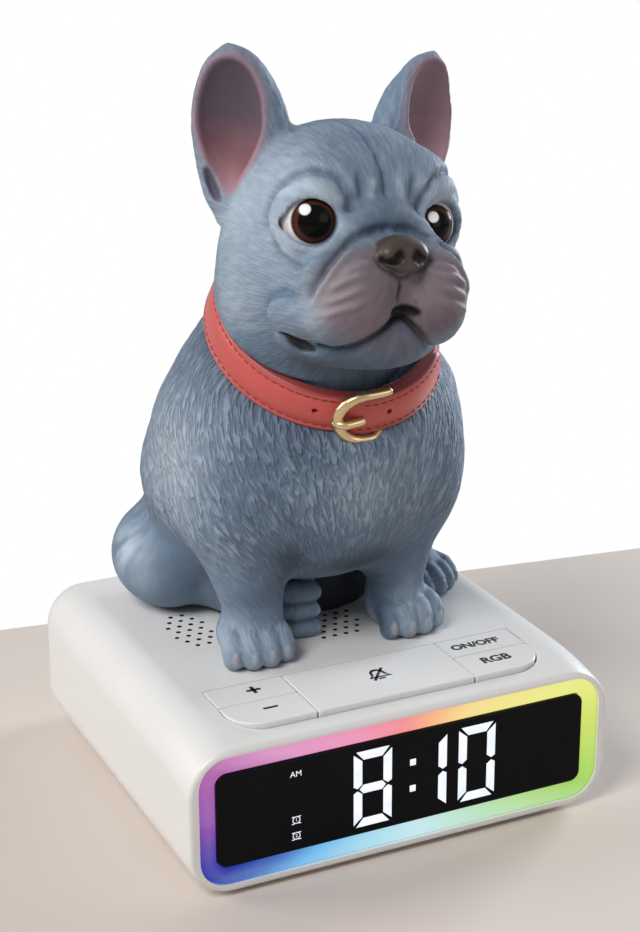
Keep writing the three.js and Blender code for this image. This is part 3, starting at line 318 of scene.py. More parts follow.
def soften(obj: Object, width: float, segments: int = 2, angle: float = 35.0) -> Object:
    """Rounds the edges of an object and keeps its flat faces flat to the light.

    Args:
        obj: Object with crisp edges.
        width: Width of the rounding in millimetres.
        segments: Spans in the rounding.
        angle: Least angle of an edge that is rounded, in degrees.

    Returns:
        The same object.
    """
    if width > 0:
        rounding = obj.modifiers.new("rounding", "BEVEL")
        rounding.width = width * MM
        rounding.segments = segments
        rounding.limit_method = "ANGLE"
        rounding.angle_limit = math.radians(angle)
    obj.data.set_sharp_from_angle(angle=math.radians(angle))
    light = obj.modifiers.new("even_light", "WEIGHTED_NORMAL")
    light.keep_sharp = True
    return obj


def dress(obj: Object, material: Material) -> Object:
    """Gives an object one finish all over."""
    obj.data.materials.clear()
    obj.data.materials.append(material)
    return obj


def settle(obj: Object, body: Body, stands_for: Sequence[str] = ()) -> Object:
    """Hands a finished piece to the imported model.

    Args:
        obj: The piece, in place.
        body: Body that it moves with.
        stands_for: Nodes that it replaces.

    Returns:
        The same piece.
    """
    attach(obj, body.value)
    if stands_for:
        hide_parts(*stands_for)
    log.info("piece %s on %s, %d faces", obj.name, body.value, len(obj.data.polygons))
    return obj


# Finishes


class Nodes:
    """Short calls for adding and wiring the nodes of a tree."""

    def __init__(self, tree: NodeTree) -> None:
        """Keeps the tree that nodes go into."""
        self.tree = tree

    def add(self, kind: str, inputs: Optional[dict] = None, **settings: object) -> Node:
        """Adds a node.

        Args:
            kind: Node type without the ShaderNode prefix.
            inputs: Values or source sockets for its inputs, by name or index.
            **settings: Properties of the node.

        Returns:
            The new node.
        """
        node = self.tree.nodes.new("ShaderNode" + kind)
        for key, value in settings.items():
            setattr(node, key, value)
        return self.feed(node, inputs or {})

    def feed(self, node: Node, inputs: dict) -> Node:
        """Sets inputs to values, or wires sockets into them."""
        for key, value in inputs.items():
            if isinstance(value, Socket):
                self.tree.links.new(value, node.inputs[key])
            else:
                node.inputs[key].default_value = value
        return node

    def group(self, tree: NodeTree, inputs: dict) -> Node:
        """Places a node group with its own values."""
        return self.add("Group", inputs, node_tree=tree)

    def math(self, operation: str, first: object, second: object = 0.0) -> Socket:
        """Adds a sum of two values and gives its result."""
        return self.add("Math", {0: first, 1: second}, operation=operation).outputs[0]

    def product(self, *values: object) -> Socket:
        """Multiplies two or more values."""
        return reduce(lambda first, second: self.math("MULTIPLY", first, second), values)

    def mix(self, share: object, first: object, second: object) -> Socket:
        """Mixes two colours and gives the result."""
        return self.add("Mix", {0: share, 6: first, 7: second}, data_type="RGBA").outputs[2]

    def noise(self, scale: object, detail: float, **more: object) -> Socket:
        """Adds soft noise in the object's own space, or in a space given as Vector."""
        inputs = {"Scale": scale, "Detail": detail, **more}
        if "Vector" not in inputs:
            inputs["Vector"] = self.place()
        return self.add("TexNoise", inputs).outputs["Fac"]

    def place(self) -> Socket:
        """Gives the place on the object, in its own frame."""
        return self.add("TexCoord").outputs["Object"]

    def bump(self, strength: object, distance: float, height: Socket, **more: object) -> Socket:
        """Raises the surface by a height over a distance in millimetres."""
        inputs = {"Strength": strength, "Distance": distance * MM, "Height": height, **more}
        return self.add("Bump", inputs).outputs[0]

    def ramp(self, value: object, stops: Sequence[tuple[float, Triple]]) -> Socket:
        """Adds a colour ramp.

        Args:
            value: Socket that runs along the ramp.
            stops: Place and colour of each stop.

        Returns:
            The colour socket.
        """
        node = self.add("ValToRGB", {0: value})
        band = node.color_ramp.elements
        while len(band) < len(stops):
            band.new(0.5)
        for element, (place, colour) in zip(band, stops):
            element.position = place
            element.color = rgba(colour)
        return node.outputs[0]

    def step(self, value: object, low: float, high: float) -> Socket:
        """Gives 0 below one value and 1 above another."""
        return self.ramp(value, ((low, BLACK), (high, WHITE)))

    def range(self, value: object, low: float, high: float, to_low: float, to_high: float) -> Socket:
        """Maps a value from one range to another."""
        inputs = {0: value, 1: low, 2: high, 3: to_low, 4: to_high}
        return self.add("MapRange", inputs).outputs[0]

    def spread(self, noise: Socket, low: float, high: float) -> Socket:
        """Maps soft noise, which mostly runs from 0.3 to 0.7, to a range."""
        return self.range(noise, 0.3, 0.7, low, high)

    def attribute(self, name: str) -> Socket:
        """Reads a value that is stored on the mesh's points."""
        return self.add("Attribute", attribute_name=name).outputs["Fac"]


def rgba(colour: Point, factor: float = 1.0) -> tuple[float, ...]:
    """Makes a colour darker or lighter, and adds full opacity."""
    return (*(min(value * factor, 1.0) for value in colour), 1.0)


class Effects:
    """Surface effects that several finishes share, each a node group made once."""

    def __init__(self) -> None:
        """Starts with no group made."""
        self.made: dict[str, NodeTree] = {}

    def new_group(self, name: str, inputs: dict[str, float], outputs: Sequence[str]) -> tuple[Nodes, Node, Node]:
        """Opens an empty node group.

        Args:
            name: Name of the effect.
            inputs: Names and usual values of its inputs.
            outputs: Names of its outputs.

        Returns:
            The group's nodes, its input node and its output node.
        """
        tree = bpy.data.node_groups.new(name, "ShaderNodeTree")
        for key, value in inputs.items():
            socket = tree.interface.new_socket(key, in_out="INPUT", socket_type="NodeSocketFloat")
            socket.default_value = value
        for key in outputs:
            tree.interface.new_socket(key, in_out="OUTPUT", socket_type="NodeSocketFloat")
        nodes = Nodes(tree)
        self.made[name] = tree
        return nodes, tree.nodes.new("NodeGroupInput"), tree.nodes.new("NodeGroupOutput")

    def grain(self) -> NodeTree:
        """Gives the group of a fine moulded grain with slow changes of shade."""
        name = "moulded_grain"
        if name not in self.made:
            nodes, start, end = self.new_group(name, {"Scale": 1500.0, "Patch": 40.0}, ("Height", "Shade"))
            fine = nodes.noise(start.outputs["Scale"], 3.0)
            nodes.feed(end, {"Height": fine, "Shade": nodes.noise(start.outputs["Patch"], 4.0)})
        return self.made[name]

    def brushed(self) -> NodeTree:
        """Gives the group of fine drawn scratches on metal."""
        name = "drawn_scratches"
        if name not in self.made:
            nodes, start, end = self.new_group(name, {"Scale": 400.0, "Stretch": 12.0}, ("Height", "Mask"))
            stretch = start.outputs["Stretch"]
            wide = nodes.add("CombineXYZ", {0: 1.0, 1: stretch, 2: stretch}).outputs[0]
            along = nodes.add("VectorMath", {0: nodes.place(), 1: wide}, operation="MULTIPLY").outputs[0]
            lines = nodes.noise(start.outputs["Scale"], 5.0, Vector=along)
            nodes.feed(end, {"Height": lines, "Mask": nodes.noise(120.0, 2.0)})
        return self.made[name]


EFFECTS = Effects()


def new_material(name: str) -> tuple[Material, Nodes, Node]:
    """Starts a finish with a Principled shader.

    Args:
        name: Name of the finish.

    Returns:
        The material, its nodes and its shader.
    """
    material = bpy.data.materials.new(name)
    material.use_nodes = True
    nodes = Nodes(material.node_tree)
    shader = next(node for node in material.node_tree.nodes if node.type == "BSDF_PRINCIPLED")
    return material, nodes, shader


@dataclass(frozen=True)
class Plastic:
    """A moulded plastic with a fine grain."""

    name: str
    colour: Triple
    roughness: float = 0.4
    grain: float = 1800.0
    depth: float = 0.008
    shade: float = 0.04

    def make(self) -> Material:
        """Builds the material."""
        material, nodes, shader = new_material(self.name)
        grain = nodes.group(EFFECTS.grain(), {"Scale": self.grain, "Patch": 45.0})
        shade = grain.outputs["Shade"]
        nodes.feed(shader, {
            "Base Color": nodes.mix(shade, rgba(self.colour, 1 - self.shade), rgba(self.colour, 1 + self.shade)),
            "Roughness": nodes.spread(shade, self.roughness - 0.05, self.roughness + 0.05),
            "Normal": nodes.bump(0.25, self.depth, grain.outputs["Height"]),
        })
        return material


@dataclass(frozen=True)
class Metal:
    """A metal with drawn scratches."""

    name: str
    colour: Triple
    roughness: float = 0.3
    scale: float = 400.0
    tarnish: float = 0.2

    def make(self) -> Material:
        """Builds the material."""
        material, nodes, shader = new_material(self.name)
        lines = nodes.group(EFFECTS.brushed(), {"Scale": self.scale, "Stretch": 10.0})
        height = lines.outputs["Height"]
        nodes.feed(shader, {
            "Base Color": nodes.mix(lines.outputs["Mask"], rgba(self.colour, 1 - self.tarnish), rgba(self.colour)),
            "Roughness": nodes.spread(height, self.roughness - 0.06, self.roughness + 0.08),
            "Normal": nodes.bump(0.05, 0.02, height),
            "Metallic": 1.0,
        })
        return material


@dataclass(frozen=True)
class Leather:
    """A dyed smooth leather with a pebbled grain and darker cut edges."""

    name: str
    colour: Triple
    dark: Triple
    roughness: float = 0.42
    edge: float = 0.55

    def make(self) -> Material:
        """Builds the material."""
        material, nodes, shader = new_material(self.name)
        pebbles = nodes.add("TexVoronoi", {"Vector": nodes.place(), "Scale": 1300.0}, feature="SMOOTH_F1")
        grain = nodes.group(EFFECTS.grain(), {"Scale": 900.0, "Patch": 60.0})
        shade = grain.outputs["Shade"]
        dyed = nodes.mix(shade, rgba(self.dark), rgba(self.colour))
        nodes.feed(shader, {
            "Base Color": nodes.mix(nodes.attribute("edge"), dyed, rgba(self.dark, self.edge)),
            "Roughness": nodes.spread(shade, self.roughness - 0.06, self.roughness + 0.06),
            "Normal": nodes.bump(0.18, 0.05, nodes.math("ADD", pebbles.outputs["Distance"], grain.outputs["Height"])),
            "Sheen Weight": 0.3,
            "Sheen Roughness": 0.4,
        })
        return material


@dataclass(frozen=True)
class SmokedWindow:
    """A polished black window with faint wiping marks."""

    name: str = "smoked_window"
    colour: Triple = (0.004, 0.004, 0.005)

    def make(self) -> Material:
        """Builds the material."""
        material, nodes, shader = new_material(self.name)
        shade = nodes.group(EFFECTS.grain(), {"Scale": 700.0, "Patch": 90.0}).outputs["Shade"]
        nodes.feed(shader, {
            "Base Color": nodes.mix(shade, rgba(self.colour), rgba(self.colour, 1.6)),
            "Roughness": nodes.range(shade, 0.3, 0.75, 0.1, 0.2),
            "Specular IOR Level": 0.07,
        })
        return material


@dataclass(frozen=True)
class RimGlow:
    """A milky rim whose light runs through the colours of the rainbow."""

    name: str = "rainbow_rim"
    half_width: float = 51.0
    half_height: float = 14.3
    middle: float = 19.7
    strength: float = 0.98

    # Share of a turn, from the left side through the bottom, the right side and the top
    STOPS = (
        (0.000, (0.25, 0.07, 0.40)), (0.070, (0.09, 0.05, 0.38)), (0.125, (0.02, 0.04, 0.36)),
        (0.150, (0.07, 0.17, 0.52)), (0.175, (0.17, 0.50, 0.84)), (0.215, (0.38, 0.70, 0.85)),
        (0.260, (0.55, 0.80, 0.84)), (0.300, (0.50, 0.77, 0.60)), (0.345, (0.46, 0.72, 0.30)),
        (0.380, (0.36, 0.65, 0.12)), (0.450, (0.48, 0.70, 0.12)), (0.560, (0.64, 0.76, 0.14)),
        (0.640, (0.83, 0.83, 0.25)), (0.700, (0.93, 0.72, 0.26)), (0.728, (0.95, 0.46, 0.24)),
        (0.752, (0.88, 0.27, 0.27)), (0.790, (0.85, 0.30, 0.48)), (0.840, (0.72, 0.30, 0.56)),
        (0.880, (0.42, 0.13, 0.40)), (0.940, (0.33, 0.10, 0.40)), (1.000, (0.27, 0.09, 0.42)),
    )

    def make(self) -> Material:
        """Builds the material."""
        material, nodes, shader = new_material(self.name)
        x, _, z = nodes.add("SeparateXYZ", {0: nodes.place()}).outputs
        across = nodes.math("DIVIDE", x, self.half_width * MM)
        up = nodes.math("DIVIDE", nodes.math("SUBTRACT", z, self.middle * MM), self.half_height * MM)
        turn = nodes.math("ARCTAN2", nodes.product(up, -1.0), nodes.product(across, -1.0))
        share = nodes.math("FRACT", nodes.math("ADD", nodes.math("DIVIDE", turn, 2 * math.pi), 1.0))
        shade = nodes.group(EFFECTS.grain(), {"Scale": 300.0, "Patch": 120.0}).outputs["Shade"]
        pale = nodes.product(nodes.attribute("crest"), nodes.spread(shade, 0.02, 0.07))
        milky = nodes.mix(pale, nodes.ramp(share, self.STOPS), rgba(WHITE))
        nodes.feed(shader, {
            "Base Color": nodes.mix(0.95, milky, rgba(BLACK)),
            "Emission Color": milky,
            "Emission Strength": self.strength,
            "Roughness": 0.4,
            "Specular IOR Level": 0.04,
        })
        return material


@dataclass(frozen=True)
class Lit:
    """A light-emitting mark with slightly cooler places."""

    name: str
    colour: Triple
    strength: float = 1.0
    cooler: Triple = (0.86, 0.9, 1.0)
    unlit: Triple = (0.1, 0.1, 0.1)

    def make(self) -> Material:
        """Builds the material."""
        material, nodes, shader = new_material(self.name)
        shade = nodes.group(EFFECTS.grain(), {"Scale": 500.0, "Patch": 260.0}).outputs["Shade"]
        cool = rgba([value * share for value, share in zip(self.colour, self.cooler)])
        nodes.feed(shader, {
            "Base Color": rgba(self.unlit),
            "Emission Color": nodes.mix(nodes.range(shade, 0.35, 0.65, 0.0, 1.0), cool, rgba(self.colour)),
            "Emission Strength": self.strength,
            "Roughness": 0.5,
        })
        return material


@dataclass(frozen=True)
class CircuitBoard:
    """A solder-masked board with copper tracks under the mask."""

    name: str = "circuit_board"
    mask: Triple = (0.012, 0.085, 0.035)
    track: Triple = (0.03, 0.15, 0.06)

    def make(self) -> Material:
        """Builds the material."""
        material, nodes, shader = new_material(self.name)
        tracks = {
            "Vector": nodes.place(), "Scale": 180.0, "Mortar Size": 0.08,
            "Color1": rgba(self.mask), "Color2": rgba(self.mask, 0.85), "Mortar": rgba(self.track),
        }
        shade = nodes.group(EFFECTS.grain(), {"Scale": 1200.0, "Patch": 80.0}).outputs["Shade"]
        nodes.feed(shader, {
            "Base Color": nodes.add("TexBrick", tracks, offset=0.35).outputs["Color"],
            "Roughness": nodes.spread(shade, 0.35, 0.5),
        })
        return material


@dataclass(frozen=True)
class FurPaint:
    """Blue-grey paint over moulded fur, with painted highlights on the raised strokes, painted light and shade, and
    tints on muzzle and ears.
    """

    name: str = "fur_paint"
    # Darkest, middle and lightest coat paint: the darkest is painted shade, the lightest painted light
    shaded_coat: Triple = (0.058, 0.088, 0.132)
    coat: Triple = (0.142, 0.205, 0.288)
    stroke: Triple = (0.44, 0.525, 0.615)
    muzzle: Triple = (0.112, 0.070, 0.096)
    muzzle_light: Triple = (0.285, 0.245, 0.27)
    ear: Triple = (0.098, 0.074, 0.100)
    ear_low: Triple = (0.20, 0.070, 0.080)
    ear_edge: Triple = (0.42, 0.25, 0.30)
    nose: Triple = (0.050, 0.032, 0.024)
    nail: Triple = (0.30, 0.32, 0.36)
    # Near black for painted shadow in the mouth, under the nose and under the belly, and for the nostrils
    lip: Triple = (0.004, 0.0035, 0.004)
    gloss: float = 0.36
    stroke_scale: float = 320.0
    stroke_stretch: float = 0.22

    def strokes(self, nodes: Nodes) -> Socket:
        """Gives the height of the fur strokes, which follow the places stored on the mesh."""
        slow = nodes.product(nodes.attribute("along"), self.stroke_stretch)
        spot = nodes.add("CombineXYZ", {0: nodes.attribute("across"), 1: slow}).outputs[0]
        return nodes.range(nodes.noise(self.stroke_scale, 1.5, Vector=spot, Distortion=0.5), 0.38, 0.63, 0.0, 1.0)

    def colours(self, nodes: Nodes, depth: Socket) -> Socket:
        """Gives the paint by its lightness, which carries the painted light and shade, and by the places marked on the
        mesh.

        Args:
            nodes: Nodes of the material.
            depth: How light the paint is.

        Returns:
            The colour socket.
        """
        colour = nodes.ramp(depth, ((0.12, self.shaded_coat), (0.48, self.coat), (1.0, self.stroke)))
        pad = nodes.ramp(depth, ((0.2, self.muzzle), (0.85, self.muzzle_light)))
        inside = nodes.mix(nodes.attribute("rosy"), rgba(self.ear), rgba(self.ear_low))
        # The paler ear paint, also the painted light on the right ear's hollow
        inside = nodes.mix(nodes.attribute("mauve"), inside, rgba(self.ear_edge))
        marks = {"muzzle": pad, "ear": inside, "nose": rgba(self.nose), "nail": rgba(self.nail), "lip": rgba(self.lip)}
        for mark, paint in marks.items():
            colour = nodes.mix(nodes.attribute(mark), colour, paint)
        return colour

    def make(self) -> Material:
        """Builds the material."""
        material, nodes, shader = new_material(self.name)
        shade = nodes.group(EFFECTS.grain(), {"Scale": 900.0, "Patch": 55.0}).outputs["Shade"]
        fur, nose = nodes.attribute("fur"), nodes.attribute("nose")
        strokes = self.strokes(nodes)
        # Painted highlight on the raised strokes and painted shade between them
        light = nodes.product(nodes.range(strokes, 0.0, 1.0, -0.13, 0.09), fur)
        depth = nodes.math("ADD", nodes.attribute("tone"), nodes.spread(shade, -0.06, 0.06))
        matt = nodes.math("SUBTRACT", 1.0, nose)
        hair = nodes.bump(nodes.product(matt, 0.25), 0.12, nodes.noise(1500.0, 4.0, Roughness=0.65))
        shiny = nodes.product(nose, nodes.math("SUBTRACT", 1.0, nodes.attribute("lip")))
        nodes.feed(shader, {
            "Base Color": self.colours(nodes, nodes.math("ADD", depth, light)),
            "Roughness": nodes.spread(shade, 0.56, 0.68),
            "Normal": nodes.bump(nodes.product(fur, matt, 0.9), 0.75, strokes, Normal=hair),
            "Coat Weight": nodes.product(nodes.math("MAXIMUM", shiny, nodes.attribute("nail")), self.gloss),
            "Coat Roughness": 0.32,
            "Specular IOR Level": 0.35,
            "Sheen Weight": 0.08,
            "Sheen Roughness": 0.4,
        })
        return material


@dataclass(frozen=True)
class PaintedEye:
    """A lacquered eye with a painted iris and pupil, and a painted highlight. The eye looks along its own +Z."""

    name: str
    radius: float
    # Direction of the painted highlight in the eye's own frame
    spot: Triple
    iris: float = 0.645
    pupil: float = 0.48
    highlight_size: float = 0.18
    pupil_black: Triple = (0.002, 0.002, 0.002)
    iris_dark: Triple = (0.030, 0.009, 0.005)
    iris_light: Triple = (0.115, 0.038, 0.022)
    ring: Triple = (0.010, 0.004, 0.003)
    white_inner: Triple = (0.2, 0.16, 0.15)
    white: Triple = (0.82, 0.80, 0.79)
    white_outer: Triple = (0.62, 0.56, 0.55)
    back: Triple = (0.7, 0.66, 0.65)
    glint: Triple = (0.95, 0.95, 0.95)

    def make(self) -> Material:
        """Builds the material."""
        material, nodes, shader = new_material(self.name)
        scaled = {0: nodes.place(), "Scale": 1 / (self.radius * MM)}
        unit = nodes.add("VectorMath", scaled, operation="SCALE").outputs[0]
        x, y, z = nodes.add("SeparateXYZ", {0: unit}).outputs
        flat = nodes.add("CombineXYZ", {0: x, 1: y}).outputs[0]
        reach = nodes.add("VectorMath", {0: flat}, operation="LENGTH").outputs["Value"]
        turn = nodes.product(nodes.math("ARCTAN2", y, x), 9.0)
        rays = nodes.add("TexNoise", {"W": turn, "Scale": 1.4}, noise_dimensions="1D").outputs["Fac"]
        brown = nodes.mix(rays, rgba(self.iris_dark), rgba(self.iris_light))
        inner = nodes.mix(nodes.step(reach, self.pupil - 0.02, self.pupil + 0.03), rgba(self.pupil_black), brown)
        inner = nodes.mix(nodes.step(reach, self.iris - 0.06, self.iris - 0.005), inner, rgba(self.ring))
        stops = ((self.iris, self.white_inner), (self.iris + 0.05, self.white), (0.97, self.white_outer))
        outside = nodes.step(reach, self.iris - 0.01, self.iris + 0.015)
        front = nodes.mix(outside, inner, nodes.ramp(reach, stops))
        ball = nodes.mix(nodes.math("GREATER_THAN", z, 0.0), rgba(self.back), front)
        # The painted highlight
        near = nodes.add("VectorMath", {0: unit, 1: self.spot}, operation="DISTANCE").outputs["Value"]
        light = nodes.ramp(near, ((self.highlight_size - 0.03, WHITE), (self.highlight_size + 0.01, BLACK)))
        nodes.feed(shader, {
            "Base Color": nodes.mix(light, ball, rgba(self.glint)),
            "Roughness": 0.16,
            "Specular IOR Level": 0.12,
        })
        return material


class Finish(Protocol):
    """A finish that can build its material."""

    def make(self) -> Material:
        """Builds the material."""


def made(finish: Finish) -> Material:
    """Gives the field of a finish, which builds its material when the finishes are made."""
    return field(default_factory=finish.make)


@dataclass
class Finishes:
    """All finishes of the clock, made once."""

    case: Material = made(Plastic("case_white", (0.80, 0.785, 0.77), 0.36, shade=0.015))
    key: Material = made(Plastic("key_white", (0.80, 0.79, 0.78), 0.33, shade=0.015))
    black: Material = made(Plastic("black_plastic", (0.012, 0.012, 0.014), 0.5))
    print: Material = made(Plastic("black_print", (0.010, 0.010, 0.011), 0.55))
    window: Material = made(SmokedWindow())
    rim: Material = made(RimGlow())
    digit: Material = made(Lit("white_digit", (0.93, 0.95, 1.0)))
    board: Material = made(CircuitBoard())
    steel: Material = made(Metal("plain_steel", (0.55, 0.55, 0.57), 0.3))
    rubber: Material = made(Plastic("foot_rubber", (0.024, 0.024, 0.026), 0.85, grain=900.0, depth=0.03))
    fur: Material = made(FurPaint())
    leather: Material = made(Leather("red_leather", (0.62, 0.10, 0.085), (0.50, 0.070, 0.062)))
    thread: Material = made(Plastic("red_thread", (0.34, 0.045, 0.040), 0.7, grain=2600.0, depth=0.05))
    brass: Material = made(Metal("satin_brass", (0.80, 0.60, 0.33), 0.27, scale=250.0, tarnish=0.12))


# Sculpting with distance fields


def turn_matrix(degrees: Point) -> Array:
    """Gives the rotation about X, then Y, then Z."""
    return np.array(Euler([math.radians(angle) for angle in degrees], "XYZ").to_matrix(), np.float32)


def angles_of(turn: Array) -> tuple[float, ...]:
    """Gives the angles of a turn about X, then Y, then Z, in degrees."""
    return tuple(math.degrees(angle) for angle in Matrix(np.asarray(turn, float).tolist()).to_euler("XYZ"))


def in_frame(points: Array, at: Point, turn: Point) -> Array:
    """Gives points in the own frame of a form."""
    return (points - np.array(at, np.float32)) @ turn_matrix(turn)


def placed(at: Point, turn: Point, local: Point) -> tuple[float, ...]:
    """Gives the place of a point of a form's own frame."""
    return tuple(np.array(at) + turn_matrix(turn) @ np.array(local))


def rise(values: Array, start: float, end: float) -> Array:
    """Gives 0 up to a start and 1 from an end on, with an even slope between them."""
    return np.clip((values - start) / (end - start), 0, 1)


def smoothed(values: Array, passes: int) -> Array:
    """Evens out a row of values or places and keeps its ends."""
    even = values.copy()
    for _ in range(passes):
        even[1:-1] = (even[:-2] + 2 * even[1:-1] + even[2:]) / 4
    return even


class Form(Protocol):
    """A form of the sculpture, given by its distance field."""

    @property
    def blend(self) -> float:
        """Gives the width over which the form blends into its neighbours."""

    def reach(self) -> tuple[Array, Array]:
        """Gives the lowest and highest corner of the box round the form."""

    def distance(self, points: Array) -> Array:
        """Gives the signed distance of points, negative inside."""


@dataclass(frozen=True)
class Lump:
    """An ellipsoid that blends into its neighbours."""

    blend: float
    at: Triple
    size: Triple
    turn: Triple = (0.0, 0.0, 0.0)

    def reach(self) -> tuple[Array, Array]:
        """Gives the lowest and highest corner of the box round the lump."""
        half = np.sqrt(((turn_matrix(self.turn) * np.array(self.size)) ** 2).sum(1))
        return np.array(self.at) - half, np.array(self.at) + half

    def distance(self, points: Array) -> Array:
        """Gives the signed distance of points, negative inside."""
        local = in_frame(points, self.at, self.turn)
        radii = np.array(self.size, np.float32)
        scaled = local / radii
        far = np.sqrt((scaled ** 2).sum(-1))
        slope = np.sqrt(((scaled / radii) ** 2).sum(-1))
        return far * (far - 1) / np.maximum(slope, 1e-5)

    def mirrored(self) -> "Lump":
        """Gives the same lump on the other side."""
        x, y, z = self.at
        tilt, roll, yaw = self.turn
        return Lump(self.blend, (-x, y, z), self.size, (tilt, -roll, -yaw))


@dataclass(frozen=True)
class Limb:
    """A tapered limb through joints of x, y, z and radius."""

    blend: float
    joints: tuple[tuple[float, float, float, float], ...]

    def reach(self) -> tuple[Array, Array]:
        """Gives the lowest and highest corner of the box round the limb."""
        joints = np.array(self.joints)
        return (joints[:, :3] - joints[:, 3:]).min(0), (joints[:, :3] + joints[:, 3:]).max(0)

    def distance(self, points: Array) -> Array:
        """Gives the signed distance of points, negative inside."""
        nearest = None
        for start, end in zip(self.joints, self.joints[1:]):
            a, b = np.array(start[:3], np.float32), np.array(end[:3], np.float32)
            along = np.clip((points - a) @ (b - a) / max(float((b - a) @ (b - a)), 1e-6), 0, 1)
            off = points - a - along[..., None] * (b - a)
            gap = np.sqrt((off ** 2).sum(-1)) - (start[3] + along * (end[3] - start[3]))
            nearest = gap if nearest is None else np.minimum(nearest, gap)
        return nearest


@dataclass(frozen=True)
class Spindle:
    """A turned form with a flattened section, as height and radius along its own axis."""

    blend: float
    at: Triple
    turn: Triple
    profile: tuple[Pair, ...]
    flat: float = 1.0
    shift: float = 0.0

    def reach(self) -> tuple[Array, Array]:
        """Gives the lowest and highest corner of the box round the form."""
        heights, radii = np.array(self.profile).T
        span = max(float(np.abs(heights).max()), float(radii.max())) + abs(self.shift) + 2
        return np.array(self.at) - span, np.array(self.at) + span

    def distance(self, points: Array) -> Array:
        """Gives the signed distance of points, negative inside."""
        local = in_frame(points, self.at, self.turn)
        heights, radii = np.array(self.profile, np.float32).T
        fine = np.linspace(heights[0], heights[-1], 160)
        smooth = smoothed(np.interp(fine, heights, radii), 60)
        radius = np.interp(local[..., 2], fine, smooth).astype(np.float32)
        slope = np.interp(local[..., 2], fine, np.gradient(smooth, fine)).astype(np.float32)
        reach = np.sqrt(local[..., 0] ** 2 + ((local[..., 1] - self.shift) * self.flat) ** 2)
        side = (reach - radius) / np.sqrt(1 + slope ** 2) / np.sqrt(1 + (self.flat ** 2 - 1) * 0.4)
        return np.maximum(side, np.maximum(local[..., 2] - fine[-1], fine[0] - local[..., 2]))


@dataclass(frozen=True)
class StrapSeat:
    """The space that a leaning strap takes up round a neck, and a little more on its outside."""

    blend: float
    at: Triple
    turn: Triple
    radii: Pair
    half_width: float
    lean: float
    inner: float
    outer: float

    def reach(self) -> tuple[Array, Array]:
        """Gives a box that is wide enough for the whole strap."""
        span = 36
        return np.array(self.at) - span, np.array(self.at) + span

    def distance(self, points: Array) -> Array:
        """Gives the signed distance of points, negative in the space."""
        local = in_frame(points, self.at, self.turn)
        away = (np.hypot(local[..., 0] / self.radii[0], local[..., 1] / self.radii[1]) - 1) * min(self.radii)
        away = away + self.lean * local[..., 2]
        return np.maximum(np.maximum(self.inner - away, away - self.outer), np.abs(local[..., 2]) - self.half_width)


@dataclass(frozen=True)
class Seam:
    """The groove where two distance fields meet."""

    blend: float
    first: Field
    second: Field
    width: float
    box: tuple[Triple, Triple]

    def reach(self) -> tuple[Array, Array]:
        """Gives the box that the groove stays in."""
        return np.array(self.box[0], float), np.array(self.box[1], float)

    def distance(self, points: Array) -> Array:
        """Gives the signed distance of points, negative in the groove."""
        gap = np.hypot(self.first(points), self.second(points)) - self.width
        low, high = self.reach()
        outside = np.maximum(low - points, points - high).max(-1)
        return np.maximum(gap, outside)


